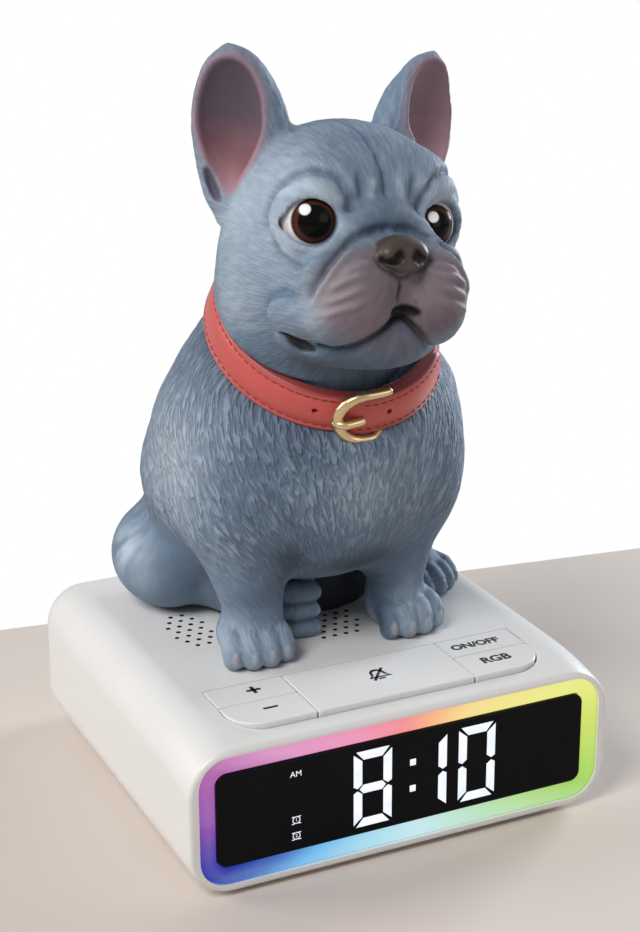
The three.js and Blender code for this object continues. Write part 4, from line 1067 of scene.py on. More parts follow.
@dataclass
class Clay:
    """A block of space in which lumps are joined and carved, then skinned."""

    low: Triple
    high: Triple
    cell: float
    values: Array = field(init=False)

    FAR = 9.0

    def __post_init__(self) -> None:
        """Fills the block with empty space."""
        counts = [int(math.ceil((b - a) / self.cell)) + 1 for a, b in zip(self.low, self.high)]
        self.values = np.full(counts, self.FAR, np.float32)

    def empty(self) -> "Clay":
        """Gives an empty block of the same size."""
        return Clay(self.low, self.high, self.cell)

    def window(self, low: Array, high: Array) -> tuple[tuple[slice, ...], Array]:
        """Gives the part of the block inside a box, as slices and as points."""
        slices, axes = [], []
        for axis in range(3):
            first = max(int((low[axis] - self.low[axis]) / self.cell), 0)
            last = min(int((high[axis] - self.low[axis]) / self.cell) + 2, self.values.shape[axis])
            slices.append(slice(first, max(last, first)))
            axes.append(self.low[axis] + self.cell * np.arange(first, max(last, first), dtype=np.float32))
        return tuple(slices), np.stack(np.meshgrid(*axes, indexing="ij"), -1).astype(np.float32)

    def around(self, shape: Form) -> tuple[tuple[slice, ...], Array]:
        """Gives the part of the block that a shape can change."""
        low, high = shape.reach()
        margin = shape.blend + 3 * self.cell
        return self.window(low - margin, high + margin)

    def join(self, *shapes: Form) -> "Clay":
        """Adds shapes, each blended over its own width."""
        for shape in shapes:
            part, points = self.around(shape)
            self.values[part] = soft_min(self.values[part], shape.distance(points), shape.blend)
        return self

    def carve(self, *shapes: Form) -> "Clay":
        """Takes shapes away, each with a rounded edge of its own width."""
        for shape in shapes:
            part, points = self.around(shape)
            self.values[part] = -soft_min(-self.values[part], shape.distance(points), shape.blend)
        return self

    def keep_side(self, at: Point, normal: Point) -> "Clay":
        """Cuts off everything on the far side of a plane."""
        _, points = self.window(np.array(self.low), np.array(self.high))
        count = self.values.shape
        flat = (points - np.array(at, np.float32)) @ np.array(normal, np.float32)
        self.values = np.maximum(self.values, flat[: count[0], : count[1], : count[2]])
        return self

    def sample(self, points: Array) -> Array:
        """Gives the field at points between the cells."""
        spot = (points - np.array(self.low)) / self.cell
        base = np.clip(np.floor(spot).astype(int), 0, np.array(self.values.shape) - 2)
        share = np.clip(spot - base, 0, 1)
        total = np.zeros(len(points))
        for corner in np.ndindex(2, 2, 2):
            weight = np.prod(np.where(corner, share, 1 - share), axis=1)
            total += weight * self.values[tuple((base + corner).T)]
        return total

    def distance(self, points: Array) -> Array:
        """Gives the field at points in an array of any shape."""
        return self.sample(points.reshape(-1, 3)).reshape(points.shape[:-1])

    def onto(self, points: Sequence[Point]) -> Array:
        """Moves points to the nearest place on the surface."""
        step = 0.4
        moved = np.array(points, float)
        for _ in range(8):
            here = self.sample(moved)
            slopes = [self.sample(moved + way) - self.sample(moved - way) for way in np.eye(3) * step]
            slope = np.stack(slopes, 1) / (2 * step)
            moved -= slope * (here / np.maximum((slope ** 2).sum(1), 0.2))[:, None]
        return moved

    def skin(self) -> tuple[Array, Array]:
        """Gives the surface as points and four-sided faces."""
        grid = openvdb.FloatGrid(self.FAR)
        grid.copyFromArray(self.values)
        points, quads = grid.convertToQuads(0.0)
        points = np.asarray(points, float) * self.cell + np.array(self.low)
        quads = np.asarray(quads, np.int64)
        first, second, third = (points[quads[:, i]] for i in range(3))
        if np.einsum("ij,ij->", first, np.cross(second, third)) < 0:
            quads = quads[:, ::-1]
        return points, quads


def nearest(forms: Sequence[Form], points: Array) -> Array:
    """Gives the least distance of points from several forms."""
    return np.min([form.distance(points) for form in forms], 0)


def soft_min(first: Array, second: Array, blend: float) -> Array:
    """Joins two distance fields with a rounded seam."""
    near = np.maximum(blend - np.abs(first - second), 0) / blend
    return np.minimum(first, second) - near * near * blend / 4


def point_normals(points: Array, quads: Array) -> Array:
    """Gives the outward direction at each point of a quad mesh."""
    across = points[quads[:, 2]] - points[quads[:, 0]]
    normal = np.cross(across, points[quads[:, 3]] - points[quads[:, 1]])
    total = np.zeros_like(points)
    for corner in range(4):
        np.add.at(total, quads[:, corner], normal)
    return total / np.maximum(np.linalg.norm(total, axis=1), 1e-9)[:, None]


class Speckle:
    """A repeatable soft noise in space."""

    SIZE = 48

    def __init__(self, seed: int) -> None:
        """Fills the lattice from a fixed seed."""
        self.lattice = np.random.default_rng(seed).random((self.SIZE,) * 3).astype(np.float32)

    def at(self, points: Array) -> Array:
        """Gives the noise at points, from 0 to 1, where one unit is one lattice step."""
        base = np.floor(points).astype(np.int64)
        share = points - base
        share = share * share * (3 - 2 * share)
        total = 0.0
        for corner in np.ndindex(2, 2, 2):
            weight = np.prod(np.where(corner, share, 1 - share), axis=1)
            total = total + weight * self.lattice[tuple(((base + corner) % self.SIZE).T)]
        return total

    def strokes(self, points: Array, flow: Array, width: float, length: float) -> Array:
        """Gives strokes that follow a flow.

        Args:
            points: Places on the surface.
            flow: Unit direction of the strokes at each place.
            width: Width of a stroke.
            length: Length of a stroke.

        Returns:
            Heights from about -1 to 1.
        """
        steps = 9
        total = 0.0
        for i in range(steps):
            shift = (i / (steps - 1) - 0.5) * length
            total = total + self.at((points + flow * shift) / width)
        total = (total - total.mean()) / max(float(total.std()), 1e-6)
        return np.tanh(total * 0.8)


@dataclass(frozen=True)
class Crease:
    """A raised or sunk line on the surface."""

    height: float
    width: float
    line: tuple[Triple, ...]
    both_sides: bool = True

    def weight(self, points: Array) -> Array:
        """Gives how strongly the line acts at each point, from 0 to 1."""
        total = self.along(points, np.array(self.line, float))
        if self.both_sides:
            other = np.array(self.line, float) * (-1, 1, 1)
            total = np.maximum(total, self.along(points, other))
        return total

    def along(self, points: Array, line: Array) -> Array:
        """Gives the weight of one line, after it is laid onto the surface.

        Args:
            points: Places on the surface, one row each.
            line: Corners of the line, near the surface.

        Returns:
            A weight from 0 to 1 for each point.
        """
        samples, spacing, margin = [], 0.6, 6
        for start, end in zip(line, line[1:]):
            count = max(int(np.linalg.norm(end - start) / spacing), 1)
            samples.extend(start + (end - start) * np.arange(count)[:, None] / count)
        samples = np.array([*samples, line[-1]])
        near = np.flatnonzero(((points > samples.min(0) - margin) & (points < samples.max(0) + margin)).all(1))
        close = points[near]
        gaps = np.linalg.norm(close[:, None] - samples[None], axis=2)
        laid = close[gaps.argmin(0)]
        taper = np.clip(np.minimum(np.arange(len(laid)), np.arange(len(laid))[::-1]) / 4 + 0.3, 0, 1)
        gaps = np.linalg.norm(close[:, None] - smoothed(laid, 3)[None], axis=2)
        best = gaps.argmin(1)
        result = np.zeros(len(points))
        result[near] = np.exp(-((gaps[np.arange(len(close)), best] / self.width) ** 2)) * taper[best]
        return result


@dataclass(frozen=True)
class Spot:
    """A soft spot of lighter or darker paint."""

    at: Triple
    reach: Triple
    share: float = 1.0

    def on(self, points: Array) -> Array:
        """Gives how much paint the spot leaves on each point."""
        return self.share * np.exp(-(((points - self.at) / self.reach) ** 2).sum(1))


def paint_light_and_shade(points: Array, spots: Iterable[Spot]) -> Array:
    """Adds up the painted light and shade of several spots."""
    return sum(spot.on(points) for spot in spots)


def one_side(points: Array) -> Array:
    """Folds points from the left side over to the right one."""
    return np.column_stack([np.abs(points[:, 0]), points[:, 1:]])


def combed(flow: Array, normals: Array) -> Array:
    """Lays directions onto a surface and gives each the length 1."""
    flat = flow - normals * np.einsum("ij,ij->i", flow, normals)[:, None]
    return flat / np.maximum(np.linalg.norm(flat, axis=1), 1e-6)[:, None]


def store(obj: Object, name: str, values: Array) -> None:
    """Stores a value on each point of a mesh."""
    layer = obj.data.attributes.new(name, "FLOAT", "POINT")
    layer.data.foreach_set("value", np.clip(values, 0, 1).astype(np.float32))


# Sub-assemblies


@dataclass
class Housing:
    """The white case with its cut-outs, and the cover under it."""

    width: float = 112.0
    depth: float = 110.0
    top: float = CASE_TOP
    corner: float = 11.0
    wall: float = 2.4
    front_edge: float = 1.2
    front_wall: float = 6.4
    roll_length: float = 21.0
    roll_drop: float = 2.5
    foot_lift: float = 1.2
    hole_radius: float = 0.65
    hole_pitch: float = 3.1
    cover_gap: tuple[float, ...] = (-44.3, 44.3, -46.3, 43.3)
    cover_corner: float = 6.3
    cover_top: float = 4.6
    socket_gap: tuple[float, ...] = (-4.8, 4.8, 17.75, 21.65)
    socket_corner: float = 1.94

    # Middle of each oval patch of holes, and half its extent in columns and rows
    PATCHES = ((-31.0, 5.2, 1.75, 3.6), (31.0, 5.2, 1.75, 3.6), (2.3, -4.6, 2.9, 3.6))

    def drop(self, y: float) -> float:
        """Gives how far the top has rolled off at a place along Y."""
        ahead = max(-self.depth / 2 + self.roll_length - y, 0)
        return self.roll_drop * (ahead / self.roll_length) ** 2

    def ring(self, y: float, offset: float, inset: float, steps: int) -> Array:
        """Gives a section of the case across Y.

        Args:
            y: Place of the section.
            offset: Distance inside the outer skin.
            inset: Further distance from the rounding of an end.
            steps: Spans in each corner.

        Returns:
            Points of the section.
        """
        half = self.width / 2 - offset - inset
        low = self.foot_lift + offset + inset
        high = self.top - self.drop(y) - offset - inset
        radius = max(self.corner - offset - inset, self.front_edge / 2)
        outline = rounded_outline(-half, half, low, high, (radius,) * 4, steps)
        return standing(outline, y)

    def shell(self, name: str, offset: float, steps: int, spans: int) -> Object:
        """Lofts the case at a distance inside its outer skin.

        Args:
            name: Name of the piece.
            offset: Distance inside the outer skin.
            steps: Facets of each corner of a ring.
            spans: Rings in the front edge.

        Returns:
            The closed form.
        """
        front, back = -self.depth / 2, self.depth / 2
        rings = []
        start = front + self.front_wall
        if offset == 0:
            start = front + self.front_edge
            for i in range(spans, 0, -1):
                angle = i / spans * math.pi / 2
                y = front + self.front_edge * (1 - math.sin(angle))
                rings.append(self.ring(y, 0, self.front_edge * (1 - math.cos(angle)), steps))
        end = front + self.roll_length
        rings += [self.ring(start + (end - start) * i / 8, offset, 0, steps) for i in range(9)]
        radius = self.corner - offset
        for i in range(2 * spans + 1):
            angle = i / (2 * spans) * math.pi / 2
            y = back - self.corner + radius * math.sin(angle)
            rings.append(self.ring(y, offset, radius * (1 - math.cos(angle)), steps))
        return loft(name, rings)

    def speaker_holes(self) -> list[Pair]:
        """Gives the places of the holes in the top, in three oval patches."""
        places = []
        for x, y, across, along in self.PATCHES:
            for row in range(-int(along), int(along) + 1):
                shift = 0.5 * (row % 2)
                for column in np.arange(-math.ceil(across) - shift, across + 0.01, 1.0):
                    if (column / across) ** 2 + (row / along) ** 2 <= 1:
                        places.append((x + column * self.hole_pitch, y + row * self.hole_pitch))
        return places

    def paint_hole_shade(self, case: Object) -> None:
        """Paints the walls of the speaker holes black, as painted shade in the holes."""
        places = np.array(self.speaker_holes())
        for face in case.data.polygons:
            x, y, z = face.center / MM
            if self.top - self.wall - 0.1 < z < self.top - 0.01 and abs(face.normal.z) < 0.5:
                face.material_index = int(np.hypot(places[:, 0] - x, places[:, 1] - y).min() < self.hole_radius + 0.05)

    def build(self, finishes: Finishes, front: "Front", keys: "KeyPad") -> None:
        """Makes the case and dresses the cover.

        Args:
            finishes: All finishes.
            front: Front whose pocket is cut.
            keys: Keys whose opening is cut.
        """
        case = self.shell("case", 0.0, 14, 6)
        inside = self.shell("inside", self.wall, 8, 4)
        holes = [cylinder("hole", self.hole_radius, 36, 42, (x, y, 0), 12) for x, y in self.speaker_holes()]
        cover = rounded_outline(*self.cover_gap, (self.cover_corner,) * 4, 8)
        socket = rounded_outline(*self.socket_gap, (self.socket_corner,) * 4, 8)
        cutters = [
            inside, front.pocket(), front.display_opening(), keys.opening(),
            extrude_up("cover_gap", cover, 0.0, self.cover_top), extrude_back("socket_gap", socket, 51.0, 56.0),
            joined("holes", holes),
        ]
        cut_away(case, cutters)
        soften(case, 0.0, angle=40.0)
        dress(case, finishes.case)
        # The black finish on the hole walls is painted shade
        case.data.materials.append(finishes.black)
        self.paint_hole_shade(case)
        settle(case, Body.BASE, ["upper_case"])
        for name in ("bottom_cover", "battery_cap"):
            soften(dress(frame["nodes"][name], finishes.case), 0.2)


@dataclass
class Front:
    """The lit rim, the smoked window and what it shows."""

    window_width: float = 97.8
    window_height: float = 24.0
    window_corner: float = 2.6
    middle: float = 19.7
    rim_width: float = 4.1
    rim_corner: float = 7.5
    rim_front: float = -54.8
    rim_back: float = -52.2
    window_front: float = -54.5
    window_back: float = -51.25
    pocket_floor: float = -51.15
    fit: float = 0.3
    segment: float = 2.25
    segment_gap: float = 0.32
    digit_height: float = 20.0
    digit_width: float = 10.1
    sheet_front: float = 0.03
    sheet_back: float = 0.02
    sign_x: float = -29.0

    SEGMENTS = {"8": "abcdefg", "1": "bc", "0": "abcdef"}

    def outline(self, grow: float, corner: float) -> Array:
        """Gives the window's outline, grown on all sides."""
        x = self.window_width / 2 + grow
        z = self.window_height / 2 + grow
        return rounded_outline(-x, x, self.middle - z, self.middle + z, (corner,) * 4, 12)

    def pocket(self) -> Object:
        """Makes the space that the rim and the window sit in."""
        grow = self.rim_width + 1.5 * self.fit
        return extrude_back("pocket", self.outline(grow, self.rim_corner + self.fit / 2), -57.0, self.pocket_floor)

    def display_opening(self) -> Object:
        """Makes the opening behind the window for the digit block."""
        opening = rounded_outline(-42.3, 42.3, 9.9, 29.5, (0,) * 4)
        return extrude_back("opening", opening, -52.0, -47.0)

    def rim(self, finishes: Finishes) -> None:
        """Makes the rim with a softly domed face."""
        inner = self.outline(self.fit, self.window_corner + self.fit)
        outer = self.outline(self.fit + self.rim_width, self.rim_corner)
        front, back = self.rim_front, self.rim_back
        section = (
            (0.0, back), (0.0, front + 0.75), (0.05, front + 0.35), (0.18, front + 0.12), (0.5, front),
            (0.82, front + 0.12), (0.95, front + 0.35), (1.0, front + 0.75), (1.0, back),
        )
        rings = [standing(inner + (outer - inner) * share, y) for share, y in section]
        rim = loft("light_rim", rings, closed=True)
        crest = np.repeat([1 - abs(2 * share - 1) for share, _ in section], len(inner))
        store(rim, "crest", crest ** 0.7)
        settle(dress(rim, finishes.rim), Body.BASE, ["light_frame"])

    def window(self, finishes: Finishes) -> None:
        """Makes the smoked window."""
        plate = extrude_back("smoked_window", self.outline(0, self.window_corner), self.window_front, self.window_back)
        soften(plate, 0.3, 3)
        settle(dress(plate, finishes.window), Body.BASE, ["display_window"])

    def digit(self, figure: str, left: float, low: float) -> list[Array]:
        """Gives the outlines of a digit's lit segments.

        Args:
            figure: The digit to show.
            left: Place of its left side.
            low: Height of its lower end.

        Returns:
            Outlines of x and z.
        """
        w, h, t, g = self.digit_width, self.digit_height, self.segment, self.segment_gap
        m = h / 2
        shapes = {
            "a": [(g * 2, h), (w - g * 2, h), (w - t - g, h - t), (t + g, h - t)],
            "d": [(t + g, t), (w - t - g, t), (w - g * 2, 0), (g * 2, 0)],
            "f": [(0, h - g * 2), (t, h - t - g), (t, m + t * 0.55), (t * 0.45, m + g), (0, m + t * 0.4)],
            "e": [(0, g * 2), (0, m - t * 0.4), (t * 0.45, m - g), (t, m - t * 0.55), (t, t + g)],
            "g": [(t * 0.55 + g, m), (t + g, m + t / 2), (w - t - g, m + t / 2), (w - t * 0.55 - g, m),
                  (w - t - g, m - t / 2), (t + g, m - t / 2)],
        }
        shapes["b"] = [(w - x, z) for x, z in shapes["f"]]
        shapes["c"] = [(w - x, z) for x, z in shapes["e"]]
        return [np.array(shapes[name]) + (left, low) for name in self.SEGMENTS[figure]]

    def lit_sheet(self, name: str, outlines: Sequence[Array]) -> Object:
        """Makes thin lit shapes on the face of the window."""
        front, back = self.window_front - self.sheet_front, self.window_front + self.sheet_back
        return joined(name, [extrude_back(name, outline, front, back) for outline in outlines])

    def shown(self, finishes: Finishes) -> None:
        """Makes the time, the colon and the small signs."""
        low = self.middle - self.digit_height / 2
        digits = [*self.digit("8", -14.1, low), *self.digit("1", 0.75, low), *self.digit("0", 14.1, low)]
        for z in (23.7, 16.7):
            digits.append(rounded_outline(0.85, 2.45, z - 0.85, z + 0.85, (0.15,) * 4, 3))
        time = self.lit_sheet("lit_time", digits)
        settle(dress(time, finishes.digit), Body.BASE)
        signs = []
        for number, z in (("1", 15.8), ("2", 11.6)):
            signs += self.alarm_sign(self.sign_x, z)
            signs.append(front_text("sign", number, 1.25, (self.sign_x, self.window_front, z)))
        signs.append(front_text("half_day", "AM", 2.1, (self.sign_x, self.window_front, 27.8)))
        small = joined("lit_signs", signs)
        settle(dress(small, finishes.digit), Body.BASE)

    def alarm_sign(self, x: float, z: float) -> list[Object]:
        """Makes the ring and bells of a small alarm clock sign."""
        section = ((1.0, self.sheet_back), (1.0, -self.sheet_front), (0.8, -self.sheet_front), (0.8, self.sheet_back))
        rings = [standing(circle(24) * radius + (x, z), self.window_front + y) for radius, y in section]
        parts = [loft("sign_ring", rings, closed=True)]
        for side in (-1, 1):
            for height in (-0.95, 0.85):
                bell = rounded_outline(-0.32, 0.32, -0.1, 0.12, (0.05,) * 4, 2) + (x + side * 0.85, z + height)
                parts.append(self.lit_sheet("sign_bell", [bell]))
        return parts

    def build(self, finishes: Finishes) -> None:
        """Makes all that shows in the front."""
        self.rim(finishes)
        self.window(finishes)
        self.shown(finishes)


def flat_text(words: str, height: float, weight: float) -> bpy.types.Mesh:
    """Gives a mesh of written words in the XY plane, centred on the origin.

    Args:
        words: Text to write.
        height: Size of the letters in millimetres.
        weight: How much the strokes are thickened, in millimetres.

    Returns:
        A new mesh, in metres.
    """
    curve = bpy.data.curves.new("words", "FONT")
    curve.body = words
    curve.size = height * MM
    curve.bevel_depth = weight * MM
    curve.bevel_resolution = 0
    curve.extrude = 0.012 * MM
    curve.align_x = "CENTER"
    curve.align_y = "CENTER"
    holder = add_object("words", curve)
    graph = bpy.context.evaluated_depsgraph_get()
    mesh = bpy.data.meshes.new_from_object(holder.evaluated_get(graph))
    bpy.data.objects.remove(holder)
    for vertex in mesh.vertices:
        vertex.co.z = max(-curve.extrude, min(vertex.co.z, curve.extrude))
    return mesh


def placed_text(name: str, mesh: bpy.types.Mesh, at: Point, tilt: float) -> Object:
    """Puts a text mesh in its place, tilted about X in degrees."""
    place = Matrix.Translation(Vector(at) * MM) @ Matrix.Rotation(math.radians(tilt), 4, "X")
    mesh.transform(place)
    return add_object(name, mesh)


def front_text(name: str, words: str, height: float, at: Point) -> Object:
    """Writes words on the front, to be read along +Y."""
    return placed_text(name, flat_text(words, height, 0.0), at, 90.0)


@dataclass
class KeyPad:
    """Five keys on the top with printed marks."""

    width: float = 83.0
    front: float = -50.0
    rear: float = -29.0
    split: float = -38.5
    snooze_half: float = 21.0
    corner: float = 8.5
    gap: float = 0.35
    top: float = CASE_TOP
    flange_top: float = 35.999
    flange: float = 1.2
    lip: float = 1.0
    edge: float = 0.32
    rear_gap: float = 0.1
    print_lift: float = 0.012
    print_low: float = -0.02
    bell_at: Pair = (0.4, -38.6)
    plus_at: Pair = (-30.2, -33.2)

    # Right half of the bell sign, from its top to its rim
    BELL = ((0.0, 2.5), (0.75, 2.3), (1.35, 1.75), (1.7, 0.9), (1.85, -0.2), (2.05, -0.75), (2.75, -1.3), (2.75, -1.55))

    def opening(self) -> Object:
        """Makes the opening in the case that the keys stand in."""
        half = self.width / 2 + self.gap
        corner = self.corner + self.gap
        front, rear = self.front - self.gap, self.rear + self.rear_gap
        plan = rounded_outline(-half, half, front, rear, (corner, corner, 0, 0), 14)
        return extrude_up("key_opening", plan, self.flange_top - 2.5, 42.0)

    def plan(self, body: Body) -> tuple[float, float, float, float, tuple[float, ...]]:
        """Gives the sides and corner radii of a key."""
        half, inner, between = self.width / 2, self.snooze_half, self.gap / 2
        front, rear = self.front, self.rear
        corner = self.corner
        if body is Body.SNOOZE:
            return -inner + between, inner - between, front, rear, (0, 0, 0, 0)
        left = body in (Body.PLUS, Body.MINUS)
        x0, x1 = (-half, -inner - between) if left else (inner + between, half)
        if body in (Body.PLUS, Body.POWER):
            return x0, x1, self.split + between, rear, (0, 0, 0, 0)
        return x0, x1, front, self.split - between, (corner, 0, 0, 0) if left else (0, corner, 0, 0)

    def cap(self, body: Body) -> Object:
        """Makes one key cap with softened upper edges, its flange and its stem."""
        x0, x1, y0, y1, radii = self.plan(body)
        low = self.flange_top - self.flange
        sections = [(low, 0.0), (self.top - self.edge, 0.0)]
        for i in range(1, 5):
            angle = i / 4 * math.pi / 2
            sections.append((self.top - self.edge * (1 - math.sin(angle)), self.edge * (1 - math.cos(angle))))
        rings = []
        for z, inset in sections:
            sizes = tuple(max(radius - inset, 0.0) + (0.45 if radius == 0 else 0.0) for radius in radii)
            outline = rounded_outline(x0 + inset, x1 - inset, y0 + inset, y1 - inset, sizes, 10)
            rings.append(lying(outline, z))
        cap = loft(body.value + "_cap", rings)
        grow_left = self.lip if x0 <= -self.width / 2 else 0.0
        grow_right = self.lip if x1 >= self.width / 2 else 0.0
        grow_rear = self.lip if y1 >= self.rear else 0.0
        sizes = tuple(radius + (self.lip if radius else 0.0) for radius in radii)
        plan = rounded_outline(x0 - grow_left, x1 + grow_right, y0, y1 + grow_rear, sizes, 10)
        flange = extrude_up("flange", plan, low, self.flange_top)
        middle = ((x0 + x1) / 2, (y0 + y1) / 2, 0.0)
        stem = cylinder("stem", 2.5, low - 0.8, low + 0.4, middle, 24)
        return joined(body.value + "_cap", [cap, flange, stem])

    def bar(self, name: str, centre: Point, size: Point, turn: float = 0.0) -> Object:
        """Makes a printed bar on the key tops."""
        half_x, half_y = size[0] / 2, size[1] / 2
        outline = rounded_outline(-half_x, half_x, -half_y, half_y, (min(half_x, half_y) * 0.35,) * 4, 4)
        angle = math.radians(turn)
        spin = np.array([[math.cos(angle), math.sin(angle)], [-math.sin(angle), math.cos(angle)]])
        return extrude_up(name, outline @ spin + centre, self.top + self.print_low, self.top + self.print_lift)

    def bell(self) -> Object:
        """Makes the printed sign of a bell with a stroke through it."""
        x, y = self.bell_at
        low, high = self.print_low, self.print_lift
        outer = np.array([*self.BELL, *((-px, py) for px, py in reversed(self.BELL[1:]))]) * 1.12
        inner = outer * 0.63 + (0, 0.05)
        section = ((outer, low), (outer, high), (inner, high), (inner, low))
        parts = [
            loft("bell_line", [lying(line + (x, y), self.top + z) for line, z in section], closed=True),
            self.bar("clapper", (x, y - 2.35), (1.9, 0.7)),
            self.bar("stroke", (x, y), (7.4, 0.78), 52.0),
        ]
        return joined("snooze_sign", parts)

    def words(self, name: str, text: str, height: float, at: Point) -> Object:
        """Prints words on a key."""
        return placed_text(name, flat_text(text, height, 0.17), (*at, self.top), 0.0)

    def build(self, finishes: Finishes) -> None:
        """Makes the keys and their marks."""
        for body in KEYS:
            cap = soften(self.cap(body), 0.0, angle=50.0)
            settle(dress(cap, finishes.key), body, [body.value + "_key"])
        plus = [self.bar("bar", self.plus_at, (3.7, 1.0)), self.bar("post", self.plus_at, (0.95, 3.7))]
        marks = (
            (joined("plus_sign", plus), Body.PLUS),
            (self.bar("minus_sign", (-30.2, -43.3), (3.8, 0.9)), Body.MINUS),
            (self.bell(), Body.SNOOZE),
            (self.words("power_words", "ON/OFF", 3.65, (30.0, -33.9)), Body.POWER),
            (self.words("rgb_words", "RGB", 4.2, (30.4, -43.4)), Body.RGB),
        )
        for mark, body in marks:
            settle(dress(mark, finishes.print), body)


@dataclass
class Underside:
    """Feet and screws under the case."""

    feet: tuple[Pair, ...] = ((-36, -38), (-36, 26), (36, -38), (36, 26))
    screws: tuple[Pair, ...] = ((-39, -20), (-39, 37), (39, -20), (39, 37))
    foot_radius: float = 5.0
    foot_top: float = 1.95
    head_radius: float = 2.9
    head_low: float = 1.2
    head_top: float = 2.5
    tip: float = 11.7
    shank: float = 1.5

    def foot(self, x: float, y: float, name: str) -> Object:
        """Makes a rubber foot with a rounded rim and a ring groove."""
        r = self.foot_radius
        profile = [(0, 0.0), (r * 0.5, 0.0), (r * 0.56, 0.18), (r * 0.62, 0.0), (r - 0.5, 0.0), (r - 0.15, 0.15),
                   (r, 0.5), (r, self.foot_top), (0, self.foot_top)]
        return revolve(name, profile, (x, y, 0), 40)

    def screw(self, x: float, y: float, name: str) -> Object:
        """Makes a screw with a domed head and a cross recess.

        Args:
            x: Place of its axis across.
            y: Place of its axis in depth.
            name: Name of the piece.

        Returns:
            The screw.
        """
        r, low = self.head_radius, self.head_low
        profile = [(0, low), (r * 0.6, low + 0.02), (r * 0.9, low + 0.15), (r, low + 0.45), (r, self.head_top)]
        turns, core = 9, self.shank * 0.8
        step = (self.tip - 1.2 - self.head_top) / turns
        for i in range(turns):
            z = self.head_top + step * i
            profile += [(core, z + step * 0.1), (self.shank, z + step * 0.5), (core, z + step * 0.9)]
        profile += [(self.shank * 0.5, self.tip - 0.6), (0, self.tip)]
        screw = revolve(name, profile, (x, y, 0), 24)
        for half_x, half_y in ((1.45, 0.31), (0.31, 1.45)):
            outline = rounded_outline(x - half_x, x + half_x, y - half_y, y + half_y, (0.1,) * 4, 2)
            cut_away(screw, [extrude_up("recess", outline, low - 1, low + 0.8)])
        return screw

    def build(self, finishes: Finishes) -> None:
        """Makes the feet and the screws."""
        for index, (x, y) in enumerate(self.feet, 1):
            foot = soften(self.foot(x, y, f"foot_{index}"), 0.0)
            settle(dress(foot, finishes.rubber), Body.BASE, [f"rubber_foot_{index}"])
        for index, (x, y) in enumerate(self.screws, 1):
            screw = soften(self.screw(x, y, f"screw_{index}"), 0.0)
            settle(dress(screw, finishes.steel), Body.BASE, [f"cover_screw_{index}"])


@dataclass
class Inside:
    """Boards, switches, speaker and power parts, dressed as they are packed."""

    boards: tuple[str, ...] = ("light_board", "display_board", "key_board", "main_board")
    dark: tuple[str, ...] = ("digit_block", "speaker_frame", "speaker_cone")
    bright: tuple[str, ...] = ("speaker_magnet", "coin_cell", "battery_contact", "power_socket")

    def build(self, finishes: Finishes) -> None:
        """Gives every inner node its finish."""
        nodes = frame["nodes"]
        switches = [f"{key.value}_{part}" for key in KEYS for part in ("switch", "plunger")]
        screws = [f"figure_screw_{index}" for index in range(1, 5)]
        for name in self.boards:
            dress(nodes[name], finishes.board)
        for name in (*self.dark, *switches):
            dress(nodes[name], finishes.black)
        for name in (*self.bright, *screws):
            dress(nodes[name], finishes.steel)
        for name in ("coin_cell", "power_socket", "main_board"):
            soften(nodes[name], 0.1)


@dataclass(frozen=True)
class Neckline:
    """Where the collar goes round the neck, above the case top."""

    at: Triple = (1.5, -6.9, 80.0)
    tilt: float = 31.0
    roll: float = -4.0
    radius_x: float = 26.2
    radius_y: float = 28.8

    def turn(self) -> Array:
        """Gives the turn of the collar's own frame."""
        return turn_matrix((self.tilt, self.roll, 0))

    def up(self) -> Array:
        """Gives the direction across the collar's middle plane."""
        return self.turn() @ np.array((0, 0, 1.0))

    def seat(self, at: Point, turn: Array) -> StrapSeat:
        """Gives the space that the neck is cut to, from the collar's place and turn in the neck's frame."""
        return StrapSeat(2.4, tuple(at), angles_of(turn), (self.radius_x, self.radius_y), 5.0, 0.2, -1.4, 9.0)


@dataclass(frozen=True)
class Ear:
    """An upright ear with a hollow. Its side is -1 on the left and 1 on the right."""

    side: float
    out: float
    tilt: float
    fuller: float
    inner: float
    yaw: float = 20.0
    blend: float = 2.5

    def at(self) -> Triple:
        """Gives the ear's root."""
        return self.side * self.out, -8.5, 116.8

    def turn(self, more: float = 0.0) -> Triple:
        """Gives the ear's turn, with more lean outwards if asked."""
        return 0.0, self.tilt + self.side * more, self.side * self.yaw

    def outside(self) -> Spindle:
        """Gives the whole ear."""
        more = self.fuller / 2
        profile = ((-10, 8.6), (-4, 10.8), (4, 11.2 + more), (12, 11.1 + more), (18, 9.9 + more), (22, 8.5),
                   (25.5, 6.7), (27.6, 4.9), (29.0, 3.1), (29.7, 1.4), (30.0, 0.2))
        return Spindle(self.blend, self.at(), self.turn(), profile, 1.6)

    def hollow(self) -> Spindle:
        """Gives the hollow in front."""
        low = ((-11, 0.5), (-9, 1.6), (-6, 3.4), (-2, 5.6), (2, 7.4))
        high = ((5, 8.1), (11, 8.1), (15, 7.4), (18.5, 6.1), (21, 4.3))
        profile = (*low, *((height, radius + self.fuller) for height, radius in high), (23.2, 0.8))
        middle = placed(self.at(), self.turn(), (self.side * self.inner, 0, 7))
        return Spindle(1.0, middle, self.turn(-9.0), profile, 1.15, -7.0)

    def pocket(self) -> Lump:
        """Gives the small pocket at the hollow's lower edge."""
        middle = placed(self.at(), self.turn(), (self.side * 8.7, -4.6, -0.6))
        return Lump(1.0, middle, (1.2, 3.0, 4.4), self.turn(12.0))


